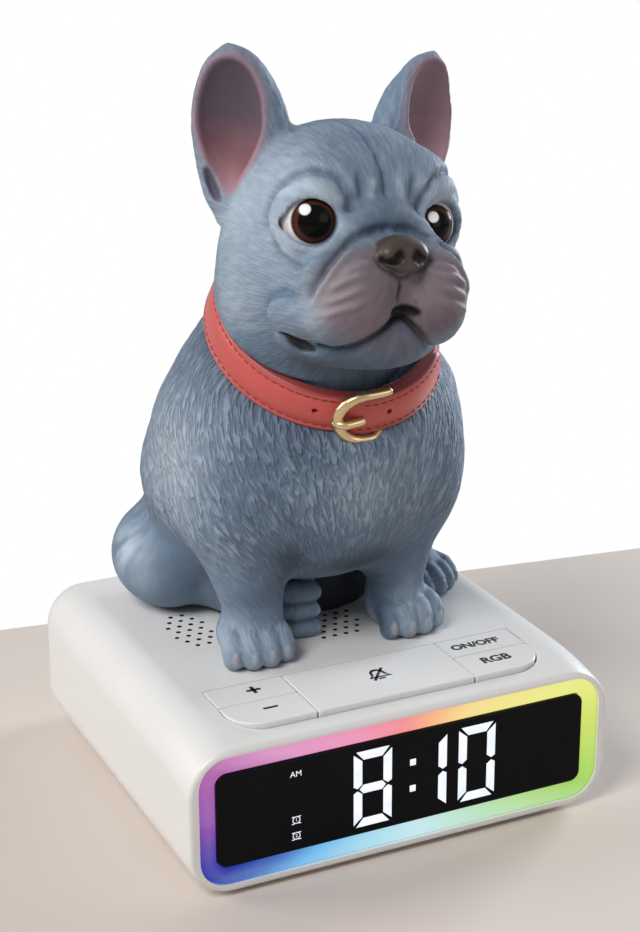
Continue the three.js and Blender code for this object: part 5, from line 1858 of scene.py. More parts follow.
@dataclass(frozen=True)
class Eye:
    """A painted eye with its lids. Its side is -1 on the left and 1 on the right."""

    name: str
    side: float
    at: Triple
    yaw: float
    lift: float
    gaze: Triple
    # Shift of the painted highlight from the gaze
    spot: Triple
    radius: float = 7.6
    lid: float = 1.3
    opening: Pair = (5.9, 5.2)

    def place(self, *local: float) -> tuple[float, ...]:
        """Gives the place of a point of the lids' own frame, which looks along -Y."""
        return placed(self.at, self.turn(), local)

    def turn(self) -> Triple:
        """Gives the turn of the lids."""
        return -self.lift, 0.0, self.yaw

    def lids(self) -> list[Form]:
        """Gives the bulge round the eye and the rims of the upper and the lower lid."""
        outer = self.radius + self.lid
        wide, tall = self.opening
        forms: list[Form] = [Lump(1.6, self.at, (outer,) * 3)]
        for first, last, radius in ((172, 8, 1.15), (352, 188, 0.8)):
            joints = []
            for angle in np.radians(np.linspace(first, last, 9)):
                x, z = (wide + 0.9) * math.cos(angle), (tall + 0.8) * math.sin(angle)
                y = -math.sqrt(max((outer - 0.5) ** 2 - x * x - z * z, 1.0))
                joints.append((*self.place(x, y, z), radius))
            forms.append(Limb(1.2, tuple(joints)))
        return forms

    def openings(self) -> list[Form]:
        """Gives the opening between the lids and its outer corner."""
        wide, tall = self.opening
        return [
            Lump(0.3, self.place(0, -7.0, 0), (wide, 10.0, tall), self.turn()),
            Lump(0.3, self.place(self.side * 4.2, -6.0, -0.6), (2.8, 8.0, 2.2), self.turn()),
        ]

    def room(self) -> Lump:
        """Gives the room for the eyeball."""
        return Lump(0.3, self.at, (self.radius - 0.2,) * 3)

    def profile(self) -> list[Pair]:
        """Gives the profile of the eyeball, a little fuller in front."""
        points = []
        for angle in np.linspace(-math.pi / 2, math.pi / 2, 25):
            bulge = 1.0 + 0.025 * max(math.sin(angle), 0.0) ** 6
            points.append((self.radius * math.cos(angle), self.radius * math.sin(angle) * bulge))
        return points

    def build(self, head: Matrix) -> None:
        """Makes the eyeball, from the place of the head in millimetres."""
        look = Vector(self.gaze).normalized()
        spin = look.to_track_quat("Z", "Y").to_matrix().to_4x4()
        spot = spin.to_3x3().inverted() @ (look * 0.85 + Vector(self.spot)).normalized()
        ball = revolve("dog_eye_" + self.name, self.profile(), (0, 0, 0), 48)
        ball.matrix_world = Matrix.Translation(head @ Vector(self.at) * MM) @ spin
        finish = PaintedEye("painted_eye_" + self.name, self.radius, tuple(spot)).make()
        settle(dress(ball, finish), Body.BASE, ["eye_" + self.name])


@dataclass(frozen=True)
class Paw:
    """A standing paw, whose toes point along its own -Y."""

    at: Triple
    yaw: float
    size: float

    # Place and radius of each toe
    TOES = ((-6.5, -5.3, 2.8), (-2.2, -6.8, 2.9), (2.2, -6.8, 2.9), (6.5, -5.3, 2.8))

    def turn(self) -> Triple:
        """Gives the paw's turn."""
        return 0.0, 0.0, self.yaw

    def scaled(self, *lengths: float) -> tuple[float, ...]:
        """Gives lengths at the paw's own size."""
        return tuple(length * self.size for length in lengths)

    def place(self, *local: float) -> tuple[float, ...]:
        """Gives the place of a point of the paw's own frame."""
        return placed(self.at, self.turn(), self.scaled(*local))

    def forms(self) -> list[Form]:
        """Gives the pad and the toes."""
        forms: list[Form] = [Lump(3.0, self.place(0, 1.2, 5.8), self.scaled(8.0, 8.2, 6.9), self.turn())]
        for x, y, radius in self.TOES:
            r = radius * self.size
            joints = ((*self.place(x * 0.93, y + 4.0, 7.4), r), (*self.place(x * 0.99, y + 0.6, 6.5), r),
                      (*self.place(x * 1.01, y - 1.0, 4.6), r), (*self.place(x * 1.01, y - 1.3, 2.7), r * 0.95))
            forms.append(Limb(0.5, joints))
        return forms

    def nails(self) -> list[Form]:
        """Gives the nail of each toe."""
        size = self.scaled(0.9, 0.75, 1.8)
        return [Lump(0.3, self.place(x * 1.02, y - 3.95, 3.6), size, self.turn()) for x, y, _ in self.TOES]


@dataclass(frozen=True)
class LyingFoot:
    """The hind foot that lies on its side, with its toes one above the other."""

    # Height and radius of each toe
    TOES = ((2.6, 2.65), (7.2, 2.5), (12.0, 2.9))

    def forms(self) -> list[Form]:
        """Gives the toes."""
        forms: list[Form] = []
        for z, r in self.TOES:
            joints = ((-14, -8.0, z + 0.3, r), (-9, -10.6, z + 0.2, r),
                      (-5.0, -10.9, z, r), (-4.4, -10.6, z - 0.2, r * 0.95))
            forms.append(Limb(0.45, joints))
        return forms

    def nails(self) -> list[Form]:
        """Gives the nail of each toe."""
        return [Lump(0.3, (-3.1, -12.2, z - 0.3), (1.1, 0.75, 0.9), (0, 0, 35)) for z, _ in self.TOES]


@dataclass
class Dog:
    """The seated figure: body, head and eyes. Heights are above the case top."""

    neck: Neckline = Neckline()
    body_cell: float = 0.64
    head_cell: float = 0.5
    head_pivot: Triple = (0.0, -20.0, 108.0)
    head_roll: float = 5.0
    whorl: Triple = (0, -52, 106)
    ears: tuple[Ear, ...] = (Ear(-1, 19.6, -12.5, 0.4, 4.3), Ear(1, 20.1, 17.0, 1.8, 2.7))
    eyes: tuple[Eye, ...] = (
        Eye("left", -1, (-14.7, -32.4, 110.8), -22.4, 4.9, (-0.261, -0.955, 0.145), (-0.24, 0.1, 0.34)),
        Eye("right", 1, (13.6, -32.4, 109.5), 14.0, 8.0, (0.05, -1.0, 0.06), (-0.10, 0.0, 0.30)),
    )
    feet: tuple[Paw | LyingFoot, ...] = (
        Paw((-23, -15, 0), -4.0, 1.0), Paw((18.5, -14.5, 0), 4.0, 1.0), Paw((34, 4, 0), 30.0, 0.9), LyingFoot())
    # A paler patch on the left haunch, streaked along the fur strokes
    pale_haunch: Spot = Spot((-40.5, 21.5, 18), (6, 7, 6))
    # Painted shadow under the belly, behind the front legs
    belly_shadow: Spot = Spot((4, 1, 8), (16, 7, 16))
    # Painted light on both flanks
    flank_light: Spot = Spot((38, -3, 50), (7, 16, 18), 0.42)
    calm: Spot = Spot((0, -43, 111), (13, 12, 8), 0.8)
    chin_tint: Spot = Spot((1, -48, 87), (8, 6, 4), 0.7)
    # Painted light and shade on the body: shade under the collar and between the front legs, light on the chest front
    # and left side
    body_light_and_shade: tuple[Spot, ...] = (
        Spot((-14, -28, 61), (10, 8, 7), -0.26), Spot((1, -34, 46), (18, 8, 10), 0.20),
        Spot((3, -25, 24), (9, 6, 5), -0.40), Spot((9, -21, 7), (3.5, 5, 8), -0.40),
        Spot((-31, -19, 20), (4, 7, 14), 0.20), Spot((-41, 14, 13), (5, 7, 8), 0.24),
        Spot((19, -20, 13), (3.5, 4, 5), 0.25), Spot((-16, -24, 27), (4, 5, 7), -0.24),
        Spot((-24, -21, 13.5), (9, 7, 1.8), 0.14))
    # Painted shadow, nearly black, under the belly and between the front legs
    under_shadow: tuple[Spot, ...] = (
        Spot((3, -24, 22), (9, 6, 4), 0.50), Spot((8, -21, 7), (3, 5, 9), 0.55),
        Spot((-14.5, -22, 24), (2.5, 5, 7), 0.35))
    # Painted light and shade on the head, mostly lighter on its left side
    head_light_and_shade: tuple[Spot, ...] = (
        Spot((-20, -29, 119), (7, 9, 7), 0.20), Spot((-22, -36, 108), (4, 6, 6), 0.25),
        Spot((-24.5, -16, 89), (6, 9, 8), 0.28), Spot((-18.5, -47, 95), (5, 6, 7), 0.30),
        Spot((-11, -44, 110), (4, 4, 2.5), 0.25), Spot((14, -38, 121), (5, 5, 4), 0.14),
        Spot((9.5, -51, 90.5), (5, 5, 4), -0.18), Spot((-3, -44, 115), (4, 4, 3), -0.15),
        Spot((-16.2, -40.2, 82.2), (2.6, 2.6, 1.0), 0.3))
    # Painted light on both sides of the head, on the cheeks, temples and brows
    cheek_light_and_shade: tuple[Spot, ...] = (
        Spot((23, -17, 108), (9, 12, 13), 0.36), Spot((21, -28, 97), (7, 10, 9), 0.12),
        Spot((13, -36, 119), (7, 6, 4), 0.10))

    # Spread of the places along and across the fur, which are stored as shares
    FUR_SPAN = 240

    def body_forms(self) -> list[Form]:
        """Gives the forms of the body without its paws."""
        shoulder = Lump(8, (24, -10, 43), (11, 14, 18))
        return [
            Lump(1, (0.5, -5, 44.5), (33.5, 28.5, 28)),
            Lump(12, (1, 9, 41), (40.8, 29, 28)),
            Lump(12, (0, 24, 22), (33, 24, 24)),
            Lump(8, (0.8, 1, 57), (39.3, 26, 23)),
            Lump(8, (0, 9, 65), (27, 20, 20.5)),
            Lump(8, (1, -9, 56), (25, 23.5, 17)),
            Limb(12, ((0, -3, 64, 24.5), (0, -10, 90, 23))),
            Limb(4, ((0, 0, 68, 22.5), (0, -5, 96, 21))),
            Limb(5, ((-25, -12, 34, 11.2), (-22.8, -13.5, 22, 9.2), (-21.2, -13.5, 11, 7.2))),
            Limb(5, ((20.0, -12, 34, 10.2), (19.0, -12.5, 22, 8.8), (18.2, -12.5, 11, 7.0))),
            Lump(4, (-28, 26, 13.5), (15, 18, 14), (0, 0, -15)),
            Lump(4, (27.5, 22, 16), (15, 19, 16), (0, 0, 15)),
            Limb(4, ((-18, 16, 8, 8), (-13, -3.5, 7, 6.3))),
            Limb(4, ((28, 14, 8, 8), (32, 7, 7, 6.5))),
            Lump(4, (5, 9, 9), (19, 11, 14)),
            shoulder,
            shoulder.mirrored(),
        ]

    def fur_flow(self, points: Array, normals: Array) -> Array:
        """Gives the direction of the fur over the body."""
        x, y, z = points.T
        inward = -0.75 * np.clip(x / 20, -1, 1) * rise(y, 0, -18) * rise(z, 15, 45)
        return combed(np.column_stack([inward, 0.5 * (y > 8), np.full(len(points), -1.0)]), normals)

    def body(self, finishes: Finishes) -> None:
        """Sculpts the body with its paws, nails and fur strokes."""
        clay = Clay((-48, -44, -2), (50, 54, 104), self.body_cell).join(*self.body_forms())
        for foot in self.feet:
            clay.join(*foot.forms())
        nails = [nail for foot in self.feet for nail in foot.nails()]
        strap, up = self.neck.seat(self.neck.at, self.neck.turn()), self.neck.up()
        clay.join(*nails).carve(strap)
        clay.keep_side(np.array(self.neck.at) + up, up).keep_side((0, 0, 0.1), (0, 0, -1))
        points, quads = clay.skin()
        normals = point_normals(points, quads)
        coarse = Speckle(11).strokes(points, self.fur_flow(points, normals), 1.7, 7.5)
        chest = rise(points[:, 2], 20, 34)
        bare = 1 - np.clip(1.0 - nearest(nails, points) * 4, 0, 1)
        loose = rise(points[:, 2], 0.6, 2.1) * rise(strap.distance(points), 0, 2)
        skin = points + normals * ((0.03 + 0.10 * chest) * loose * bare * coarse)[:, None]
        body = new_object("dog_body", skin + (0, 0, CASE_TOP), quads)
        self.paint_body(body, skin, chest, coarse)
        haunch = rise(skin[:, 1], 2, 10) * rise(skin[:, 2], 30, 22)
        self.comb_body(body, points, (0.35 + 0.65 * chest) * bare * (1 - 0.65 * haunch))
        store(body, "nail", 1 - bare)
        settle(dress(body, finishes.fur), Body.BASE, ["figure_body"])

    def comb_body(self, body: Object, points: Array, fur: Array) -> None:
        """Stores where the body's fur strokes run.

        Args:
            body: The body's mesh object.
            points: Its points before the fur was raised.
            fur: How strong the strokes are at each point.
        """
        x, y, z = points.T
        round_about = np.arctan2(x - 0.5, 5.0 - y)
        narrow = np.exp(-0.021 * (z - 45) * np.clip(np.cos(round_about), 0, 1))
        along = z - 0.5 * np.maximum(y - 8, 0)
        store(body, "fur", fur * rise(np.abs(round_about), math.pi, math.pi - 0.12))
        store(body, "across", 29 * round_about * narrow / self.FUR_SPAN + 0.5)
        store(body, "along", along / self.FUR_SPAN + 0.5)

    def paint_body(self, body: Object, points: Array, chest: Array, coarse: Array) -> None:
        """Stores how light the body's paint is, with its painted light and shade, and where it is painted nearly black
        as painted shadow.

        Args:
            body: The body's mesh object.
            points: Its points.
            chest: How far up each point is, from the legs to the chest.
            coarse: Height of the fur strokes.
        """
        x, y, z = points.T
        # Painted highlight on the raised strokes, and the chest a little lighter
        tone = 0.44 + 0.05 * chest + (0.01 + 0.02 * chest) * coarse
        tone += self.pale_haunch.on(points) * (0.32 + 0.25 * coarse)
        tone += self.flank_light.on(one_side(points)) + paint_light_and_shade(points, self.body_light_and_shade)
        # Painted shade on the legs and painted shadow under the belly; the front paws are lighter
        leg_shade = rise(z, 36, 24) * rise(z, 11, 15) * rise(y, 2, -6)
        paws = rise(z, 13, 8) * (y < -12)
        belly_shadow = self.belly_shadow.on(points) * (y > -5.5)
        tone += 0.18 * paws - 0.10 * leg_shade - 0.7 * np.clip(belly_shadow * 1.6, 0, 1)
        # Painted shade on the lying foot, darkest in the grooves between its toes
        lying_foot_shade = rise(x, -17, -15) * rise(x, -2, -4) * rise(y, -6, -8) * rise(y, -15, -14)
        toe_groove_shade = sum(np.exp(-((z - height) / 0.6) ** 2) for height in (5.0, 9.7))
        store(body, "tone", tone - (0.45 * toe_groove_shade + 0.08) * lying_foot_shade)
        # Painted shadow, nearly black, under the belly and between the front legs
        under = np.clip(paint_light_and_shade(points, self.under_shadow), 0, 0.6)
        store(body, "lip", np.maximum(under, 0.8 * np.clip(belly_shadow * 1.8, 0, 1)))

    def head_forms(self) -> list[Form]:
        """Gives the main forms of the head, upright, without the lower jaw."""
        both = (
            Lump(8, (15.2, -20, 100), (10, 16, 14)),
            Lump(6, (11.6, -32.0, 120), (7.8, 7.5, 5.0), (0, 0, 12)),
            Lump(4, (14.2, -29.5, 111.4), (8.8, 8.0, 9.6)),
        )
        return [
            Lump(1, (0, -14, 107), (23.9, 25, 21.8)),
            Lump(8, (0, -23, 116.6), (20, 17, 13.2)),
            Lump(8, (0, -14, 90), (23.2, 22, 18)),
            Limb(8, ((0, -6, 70, 23.5), (0, -10, 90, 23))),
            Limb(4, ((0, 0, 68, 22.5), (0, -5, 96, 21))),
            Lump(5, (0, -36, 100.5), (18, 12.5, 12.5)),
            *(side for form in both for side in (form, form.mirrored())),
            Lump(3, (-8.2, -42, 96.8), (11.2, 10.5, 11.7), (0, 0, 10)),
            Limb(2.5, ((-12.5, -42, 92.5, 8.0), (-17.8, -34.5, 90.4, 6.0))),
            Lump(2, (10.8, -41.7, 96.0), (9.4, 10.5, 11.8), (0, 0, -10)),
            Limb(2.5, ((12.5, -42, 91.5, 8.0), (17.0, -34.5, 90.0, 6.0))),
        ]

    def chin_forms(self) -> list[Form]:
        """Gives the lower jaw and the chin in front of it."""
        return [Lump(2.0, (0, -31.5, 83.4), (19.4, 15.8, 6.8)), Lump(4.5, (1.8, -42.2, 86.6), (9.6, 7.6, 6.0))]

    def mouth_corners(self, clay: Clay) -> list[Form]:
        """Gives the dark corners of the mouth, laid onto the surface."""
        line = ((15.8, -40.8, 83.2), (17.8, -38.6, 83.8), (19.8, -36.2, 84.6))
        shapes: list[Form] = []
        for side in (1, -1):
            laid = clay.onto([(side * x, y, z) for x, y, z in line]).tolist()
            shapes.append(Limb(0.8, tuple((*spot, radius) for spot, radius in zip(laid, (0.6, 1.5, 1.9)))))
        return shapes

    def nose_roll(self, clay: Clay) -> list[Form]:
        """Gives the roll of skin that runs over the nose and down both sides of the muzzle."""
        left = ((-20.3, -41.5, 96.5), (-19.4, -43.5, 100), (-17.4, -44.3, 103.6), (-14.0, -43.4, 107),
                (-10, -41, 110.2), (-5.5, -41.2, 113), (0.3, -41.4, 113.9))
        radii = (1.5, 2.2, 2.7, 3.0, 3.1, 3.2, 3.2)
        rolls: list[Form] = []
        for side, shift in ((1, 0.2), (-1, -2.2)):
            laid = clay.onto([(side * x, y, z) for x, y, z in left])
            sunk = (laid + (shift, 0.6, -0.15)).tolist()
            rolls.append(Limb(1.5, tuple((*spot, radius) for spot, radius in zip(sunk, radii))))
        return rolls

    def nose_forms(self) -> tuple[list[Form], list[Form]]:
        """Gives the forms of the nose and of its nostrils."""
        middle = 0.9
        nose: list[Form] = [
            Lump(1.0, (0.8, -47.2, 107.1), (5.6, 4.1, 3.0)),
            Lump(1.0, (-2.4, -48.6, 106.0), (3.1, 3.0, 2.7)),
            Lump(1.0, (4.0, -48.6, 106.0), (2.9, 3.0, 2.7)),
            Lump(1.2, (1.0, -49.5, 104.4), (2.5, 2.2, 2.6)),
        ]
        wing = ((0.8, -51.3, 103.1, 0.9), (2.8, -50.6, 103.8, 0.75), (4.5, -49.6, 104.8, 0.5))
        hole = ((2.1, -51.4, 107.0, 0.75), (2.3, -51.2, 105.9, 1.25),
                (3.2, -50.9, 105.2, 1.05), (5.8, -49.6, 105.1, 0.55))
        holes: list[Form] = []
        for side in (-1, 1):
            nose.append(Limb(0.8, tuple((middle + side * x, *rest) for x, *rest in wing)))
            holes.append(Limb(0.3, tuple((middle + side * x, *rest) for x, *rest in hole)))
        return nose, holes

    def parting(self) -> Crease:
        """Gives the groove between the two halves of the upper lip."""
        return Crease(-1.4, 0.6, ((0.9, -50, 103.0), (1.4, -51, 100), (2.0, -52, 94.6)), False)

    def creases(self) -> list[Crease]:
        """Gives the folds and wrinkles of the face, on the left side where both sides have them."""
        return [
            Crease(-1.4, 0.8, ((-19.5, -44.6, 95), (-17.7, -46.6, 100.5), (-14.6, -46.4, 104.6), (-10, -43.8, 108),
                               (-4.4, -43.2, 110.4), (0.3, -43, 111))),
            Crease(0.9, 1.0, ((-18.4, -46.2, 95.6), (-16.6, -47.6, 100.3), (-13.4, -47, 104), (-10.3, -45.6, 106.4))),
            Crease(-1.2, 0.75, ((-2.6, -22, 131.4), (-1.6, -27, 130.5), (-1.2, -33, 128), (-0.6, -36.7, 125),
                                (-0.3, -39.5, 121), (0, -40.8, 116.6)), False),
            Crease(0.7, 1.1, ((-3.2, -39.5, 122), (-3.6, -40.5, 118.2), (-4.2, -41, 115.6))),
            Crease(-0.9, 0.9, ((-6.6, -40, 123), (-6.4, -40.7, 119), (-6.6, -41, 116.2))),
            Crease(0.4, 1.2, ((-9.6, -40.4, 122), (-9.2, -40.6, 118.6), (-9, -40.6, 116))),
            Crease(0.7, 1.7, ((-22.4, -32, 113.6), (-20.4, -34, 117.6), (-16.6, -37, 118.9), (-12.4, -38.8, 118),
                              (-9.8, -39.6, 115.4))),
            Crease(-1.5, 1.1, ((-24.2, -30.4, 107), (-24.2, -28.6, 111), (-22.6, -29.6, 117), (-19.6, -34.2, 121.4),
                               (-15.6, -37.4, 122.6), (-11.6, -39.2, 120.8), (-8.6, -40, 116.6), (-8, -39.6, 112.4))),
            Crease(-0.9, 0.7, ((-23.6, -31.6, 106.6), (-22.4, -33.6, 103.4), (-19.8, -36.6, 101.4),
                               (-16.8, -39, 101.2))),
            Crease(0.5, 1.2, ((-22.2, -34, 106), (-20.6, -36, 104.2), (-18, -38, 103.4))),
            Crease(-1.1, 1.1, ((-20.5, -41.4, 96), (-21, -36, 95.4), (-22, -32, 93), (-22, -29.5, 89))),
            self.parting(),
            Crease(0.7, 0.8, ((-14.2, -49.5, 102.2), (-11.3, -49.8, 103.5), (-7, -49, 104.2))),
            Crease(0.8, 0.85, ((-17.1, -49, 98.4), (-14, -50.5, 100.7), (-9.3, -50.8, 102.2))),
            Crease(0.8, 0.85, ((-17.5, -49, 95.6), (-14, -51.3, 97.8), (-9.4, -52, 99.6))),
            Crease(0.8, 0.85, ((-17.6, -48, 92.8), (-13.9, -51.5, 94.8), (-9.5, -52.5, 96.6))),
        ]

    def head_place(self) -> Matrix:
        """Gives the place of the head in the clock's frame, in millimetres."""
        pivot = Vector(self.head_pivot)
        roll = Matrix.Rotation(math.radians(self.head_roll), 4, "Y")
        return Matrix.Translation((0, 0, CASE_TOP)) @ Matrix.Translation(pivot) @ roll @ Matrix.Translation(-pivot)

    def sculpted_head(self) -> tuple[Clay, Seam, dict[str, list[Form]]]:
        """Sculpts the head, upright and uncut.

        Returns:
            The clay, the seam of the mouth, and the forms that the paint follows.
        """
        clay = Clay((-40, -60, 56), (44, 24, 152), self.head_cell).join(*self.head_forms())
        clay.join(*self.nose_roll(clay))
        for ear in self.ears:
            single = clay.empty().join(ear.outside()).carve(ear.hollow(), ear.pocket())
            clay.values = soft_min(clay.values, single.values, ear.blend)
        for eye in self.eyes:
            clay.join(*eye.lids()).carve(*eye.openings(), eye.room())
        upper = clay.empty()
        upper.values = clay.values
        jaw = clay.empty().join(*self.chin_forms())
        clay.values = soft_min(upper.values, jaw.values, 0.8)
        mouth = Seam(0.6, upper.distance, jaw.distance, 0.45, ((-14.5, -58, 83.0), (21, -35.5, 97)))
        nose, nostrils = self.nose_forms()
        marks = {
            "lid": [form for eye in self.eyes for form in eye.openings()],
            "corner": [*self.mouth_corners(clay), Lump(0.8, (2.2, -50.5, 93.0), (3.4, 4.5, 1.5))],
            "nose": nose,
            "nostril": nostrils,
        }
        clay.carve(mouth, *marks["corner"]).join(*nose).carve(*nostrils)
        return clay, mouth, marks

    def head(self, finishes: Finishes) -> None:
        """Makes the head with its ears, nose, lips and folds."""
        clay, mouth, marks = self.sculpted_head()
        place = np.array(self.head_place(), float)
        turn, shift = place[:3, :3], place[:3, 3]
        at = turn.T @ (np.array(self.neck.at) + (0, 0, CASE_TOP) - shift)
        up = turn.T @ self.neck.up()
        clay.carve(self.neck.seat(at, turn.T @ self.neck.turn())).keep_side(at - up, -up)
        points, quads = clay.skin()
        normals = point_normals(points, quads)
        weights = [(crease.height, crease.weight(points)) for crease in self.creases()]
        lines = sum(height * weight for height, weight in weights)
        folds = sum(np.sign(height) * weight for height, weight in weights)
        leather = np.clip(1.35 - nearest(marks["nose"], points) * 1.6, 0, 1)
        leather *= rise(points[:, 1], -45.4, -46.6) * rise(points[:, 2], 101.6, 102.6)
        short = Speckle(21).strokes(points, combed(points - np.array(self.whorl), normals), 0.9, 3.6)
        still = rise(nearest(marks["lid"], points), 0, 1.2) * (1 - leather)
        skin = points + normals * ((lines + 0.05 * short) * still)[:, None]
        head = new_object("dog_head", skin @ turn.T + shift, quads)
        above = mouth.first(points)
        ear, pit = self.paint_ears(head, points)
        muzzle = self.paint_muzzle(head, points, above)
        tone = self.head_tone(points, above, nearest(marks["lid"], points))
        # Painted shade in sunk creases and the ears' pockets, painted highlight on raised creases and strokes
        store(head, "tone", tone + 0.19 * np.clip(folds, -1.4, 1.0) + 0.05 * short - 0.3 * pit)
        store(head, "nose", leather)
        store(head, "lip", self.dark_paint_and_shadow(points, mouth, marks))
        self.comb_head(head, points, 0.26 - ear - muzzle * 0.2)
        settle(dress(head, finishes.fur), Body.BASE, ["figure_head"])

    def dark_paint_and_shadow(self, points: Array, mouth: Seam, marks: dict[str, list[Form]]) -> Array:
        """Gives the nearly black paint: painted shadow in the mouth's seam, its corners, under the edge of the nose and
        in the lip's parting, and the nostrils' dark paint and shadow.

        Args:
            points: Points of the head, upright.
            mouth: Seam of the mouth.
            marks: Forms that the paint follows.

        Returns:
            Shares from 0 to 1.
        """
        x, y, z = points.T
        # Painted shadow under the edge of the nose
        under = np.exp(-((nearest(marks["nose"], points) - 1.1) / 0.6) ** 2) * rise(z, 106.4, 104.4) * (y < -44)
        middle = 0.30 + 0.65 * np.exp(-((x - 2) / 6) ** 2)
        shades = (
            np.clip(1.1 - mouth.distance(points) * 0.9, 0, 1) * middle,
            np.clip(1.0 - nearest(marks["corner"], points) * 1.6, 0, 1),
            np.clip(0.9 - nearest(marks["nostril"], points) * 2.4, 0, 1),
            0.75 * under,
            0.6 * self.parting().weight(points),
        )
        return np.max(shades, 0)

    def head_tone(self, points: Array, above: Array, rim: Array) -> Array:
        """Gives how light the head's paint is without its folds, with its painted light and shade.

        Args:
            points: Points of the head, upright.
            above: Distance of each from the head without its lower jaw.
            rim: Distance of each from the eyes' openings.

        Returns:
            Lightness of the paint.
        """
        _, y, z = points.T
        tone = 0.50 + 0.05 * np.clip((z - 100) / 25, -1, 1)
        tone += paint_light_and_shade(one_side(points), self.cheek_light_and_shade) + paint_light_and_shade(points, self.head_light_and_shade)
        # Painted shade on the front of the lower jaw and on the neck under the chin
        tone -= 0.16 * rise(above, 0.2, 1.0) * rise(y, -30, -36) + 0.22 * rise(z, 84, 76) * rise(y, -8, -18)
        return tone + 0.14 * np.exp(-((rim - 0.8) / 1.3) ** 2)

    def paint_muzzle(self, head: Object, points: Array, above: Array) -> Array:
        """Stores where the muzzle and the chin are tinted.

        Args:
            head: The head's mesh object.
            points: Its points, upright.
            above: Distance of each from the head without its lower jaw.

        Returns:
            The tint's share at each point.
        """
        _, y, z = points.T
        pad = Lump(1, (0, -46, 97), (20, 14, 13)).distance(points)
        muzzle = np.clip(0.5 - pad / 5, 0, 1) * rise(y, -40, -48) * rise(z, 111, 107)
        muzzle = np.maximum(muzzle * np.clip(1.2 - above / 0.8, 0, 1), self.chin_tint.on(points))
        store(head, "muzzle", muzzle)
        return muzzle

    def paint_ears(self, head: Object, points: Array) -> tuple[Array, Array]:
        """Stores the colours inside the ears, with painted light on the right ear's hollow.

        Args:
            head: The head's mesh object.
            points: Its points, upright.

        Returns:
            How far each point is inside an ear, and in an ear's pocket.
        """
        x, y, z = points.T
        depth = nearest([ear.hollow() for ear in self.ears], points)
        outer = nearest([ear.outside() for ear in self.ears], points)
        pit = np.clip(0.6 - nearest([ear.pocket() for ear in self.ears], points) * 1.2, 0, 1)
        near = np.clip(1.3 - outer * 0.9, 0, 1)
        ear = np.clip(1.0 - np.maximum(depth, 0) * 1.1, 0, 1) * near * rise(y, -26, -20) * rise(z, 106, 109)
        rosy = rise(z, 131, 119)
        low_side = np.clip((np.abs(x) - 21 - (z - 116.8) * 0.22) / 6, 0, 1) * rise(z, 124, 116)
        mauve = 0.7 * np.maximum(low_side, np.clip(0.9 + outer / 1.7, 0, 1))
        # The right ear's hollow is painted paler, as painted light
        mauve = np.where(x > 0, np.maximum(mauve, 0.5 + 0.5 * rosy), mauve)
        halo = np.clip(1 - depth / 3.0, 0, 1) * np.clip((np.abs(x) * 0.36 - 13.5 - y) / 2.0, 0, 1)
        halo *= near * rise(z, 116, 122) * (1 - ear)
        store(head, "ear", np.maximum(ear + 0.7 * halo, pit))
        store(head, "rosy", np.where(pit > 0.05, 0.35, rosy))
        store(head, "mauve", np.maximum(mauve, halo) * (1 - np.clip(pit * 3, 0, 1)))
        return ear, pit

    def comb_head(self, head: Object, points: Array, fur: Array) -> None:
        """Stores where the head's short strokes run, away from the nose.

        Args:
            head: The head's mesh object.
            points: Its points, upright.
            fur: How strong the strokes are at each point.
        """
        away = points - np.array(self.whorl)
        store(head, "fur", fur * (1 - self.calm.on(points)))
        store(head, "across", 30 * np.arctan2(away[:, 0], away[:, 2] + 14) / self.FUR_SPAN + 0.5)
        store(head, "along", np.linalg.norm(away, axis=1) / self.FUR_SPAN + 0.2)

    def build(self, finishes: Finishes) -> None:
        """Makes the whole figure."""
        self.body(finishes)
        self.head(finishes)
        for eye in self.eyes:
            eye.build(self.head_place())


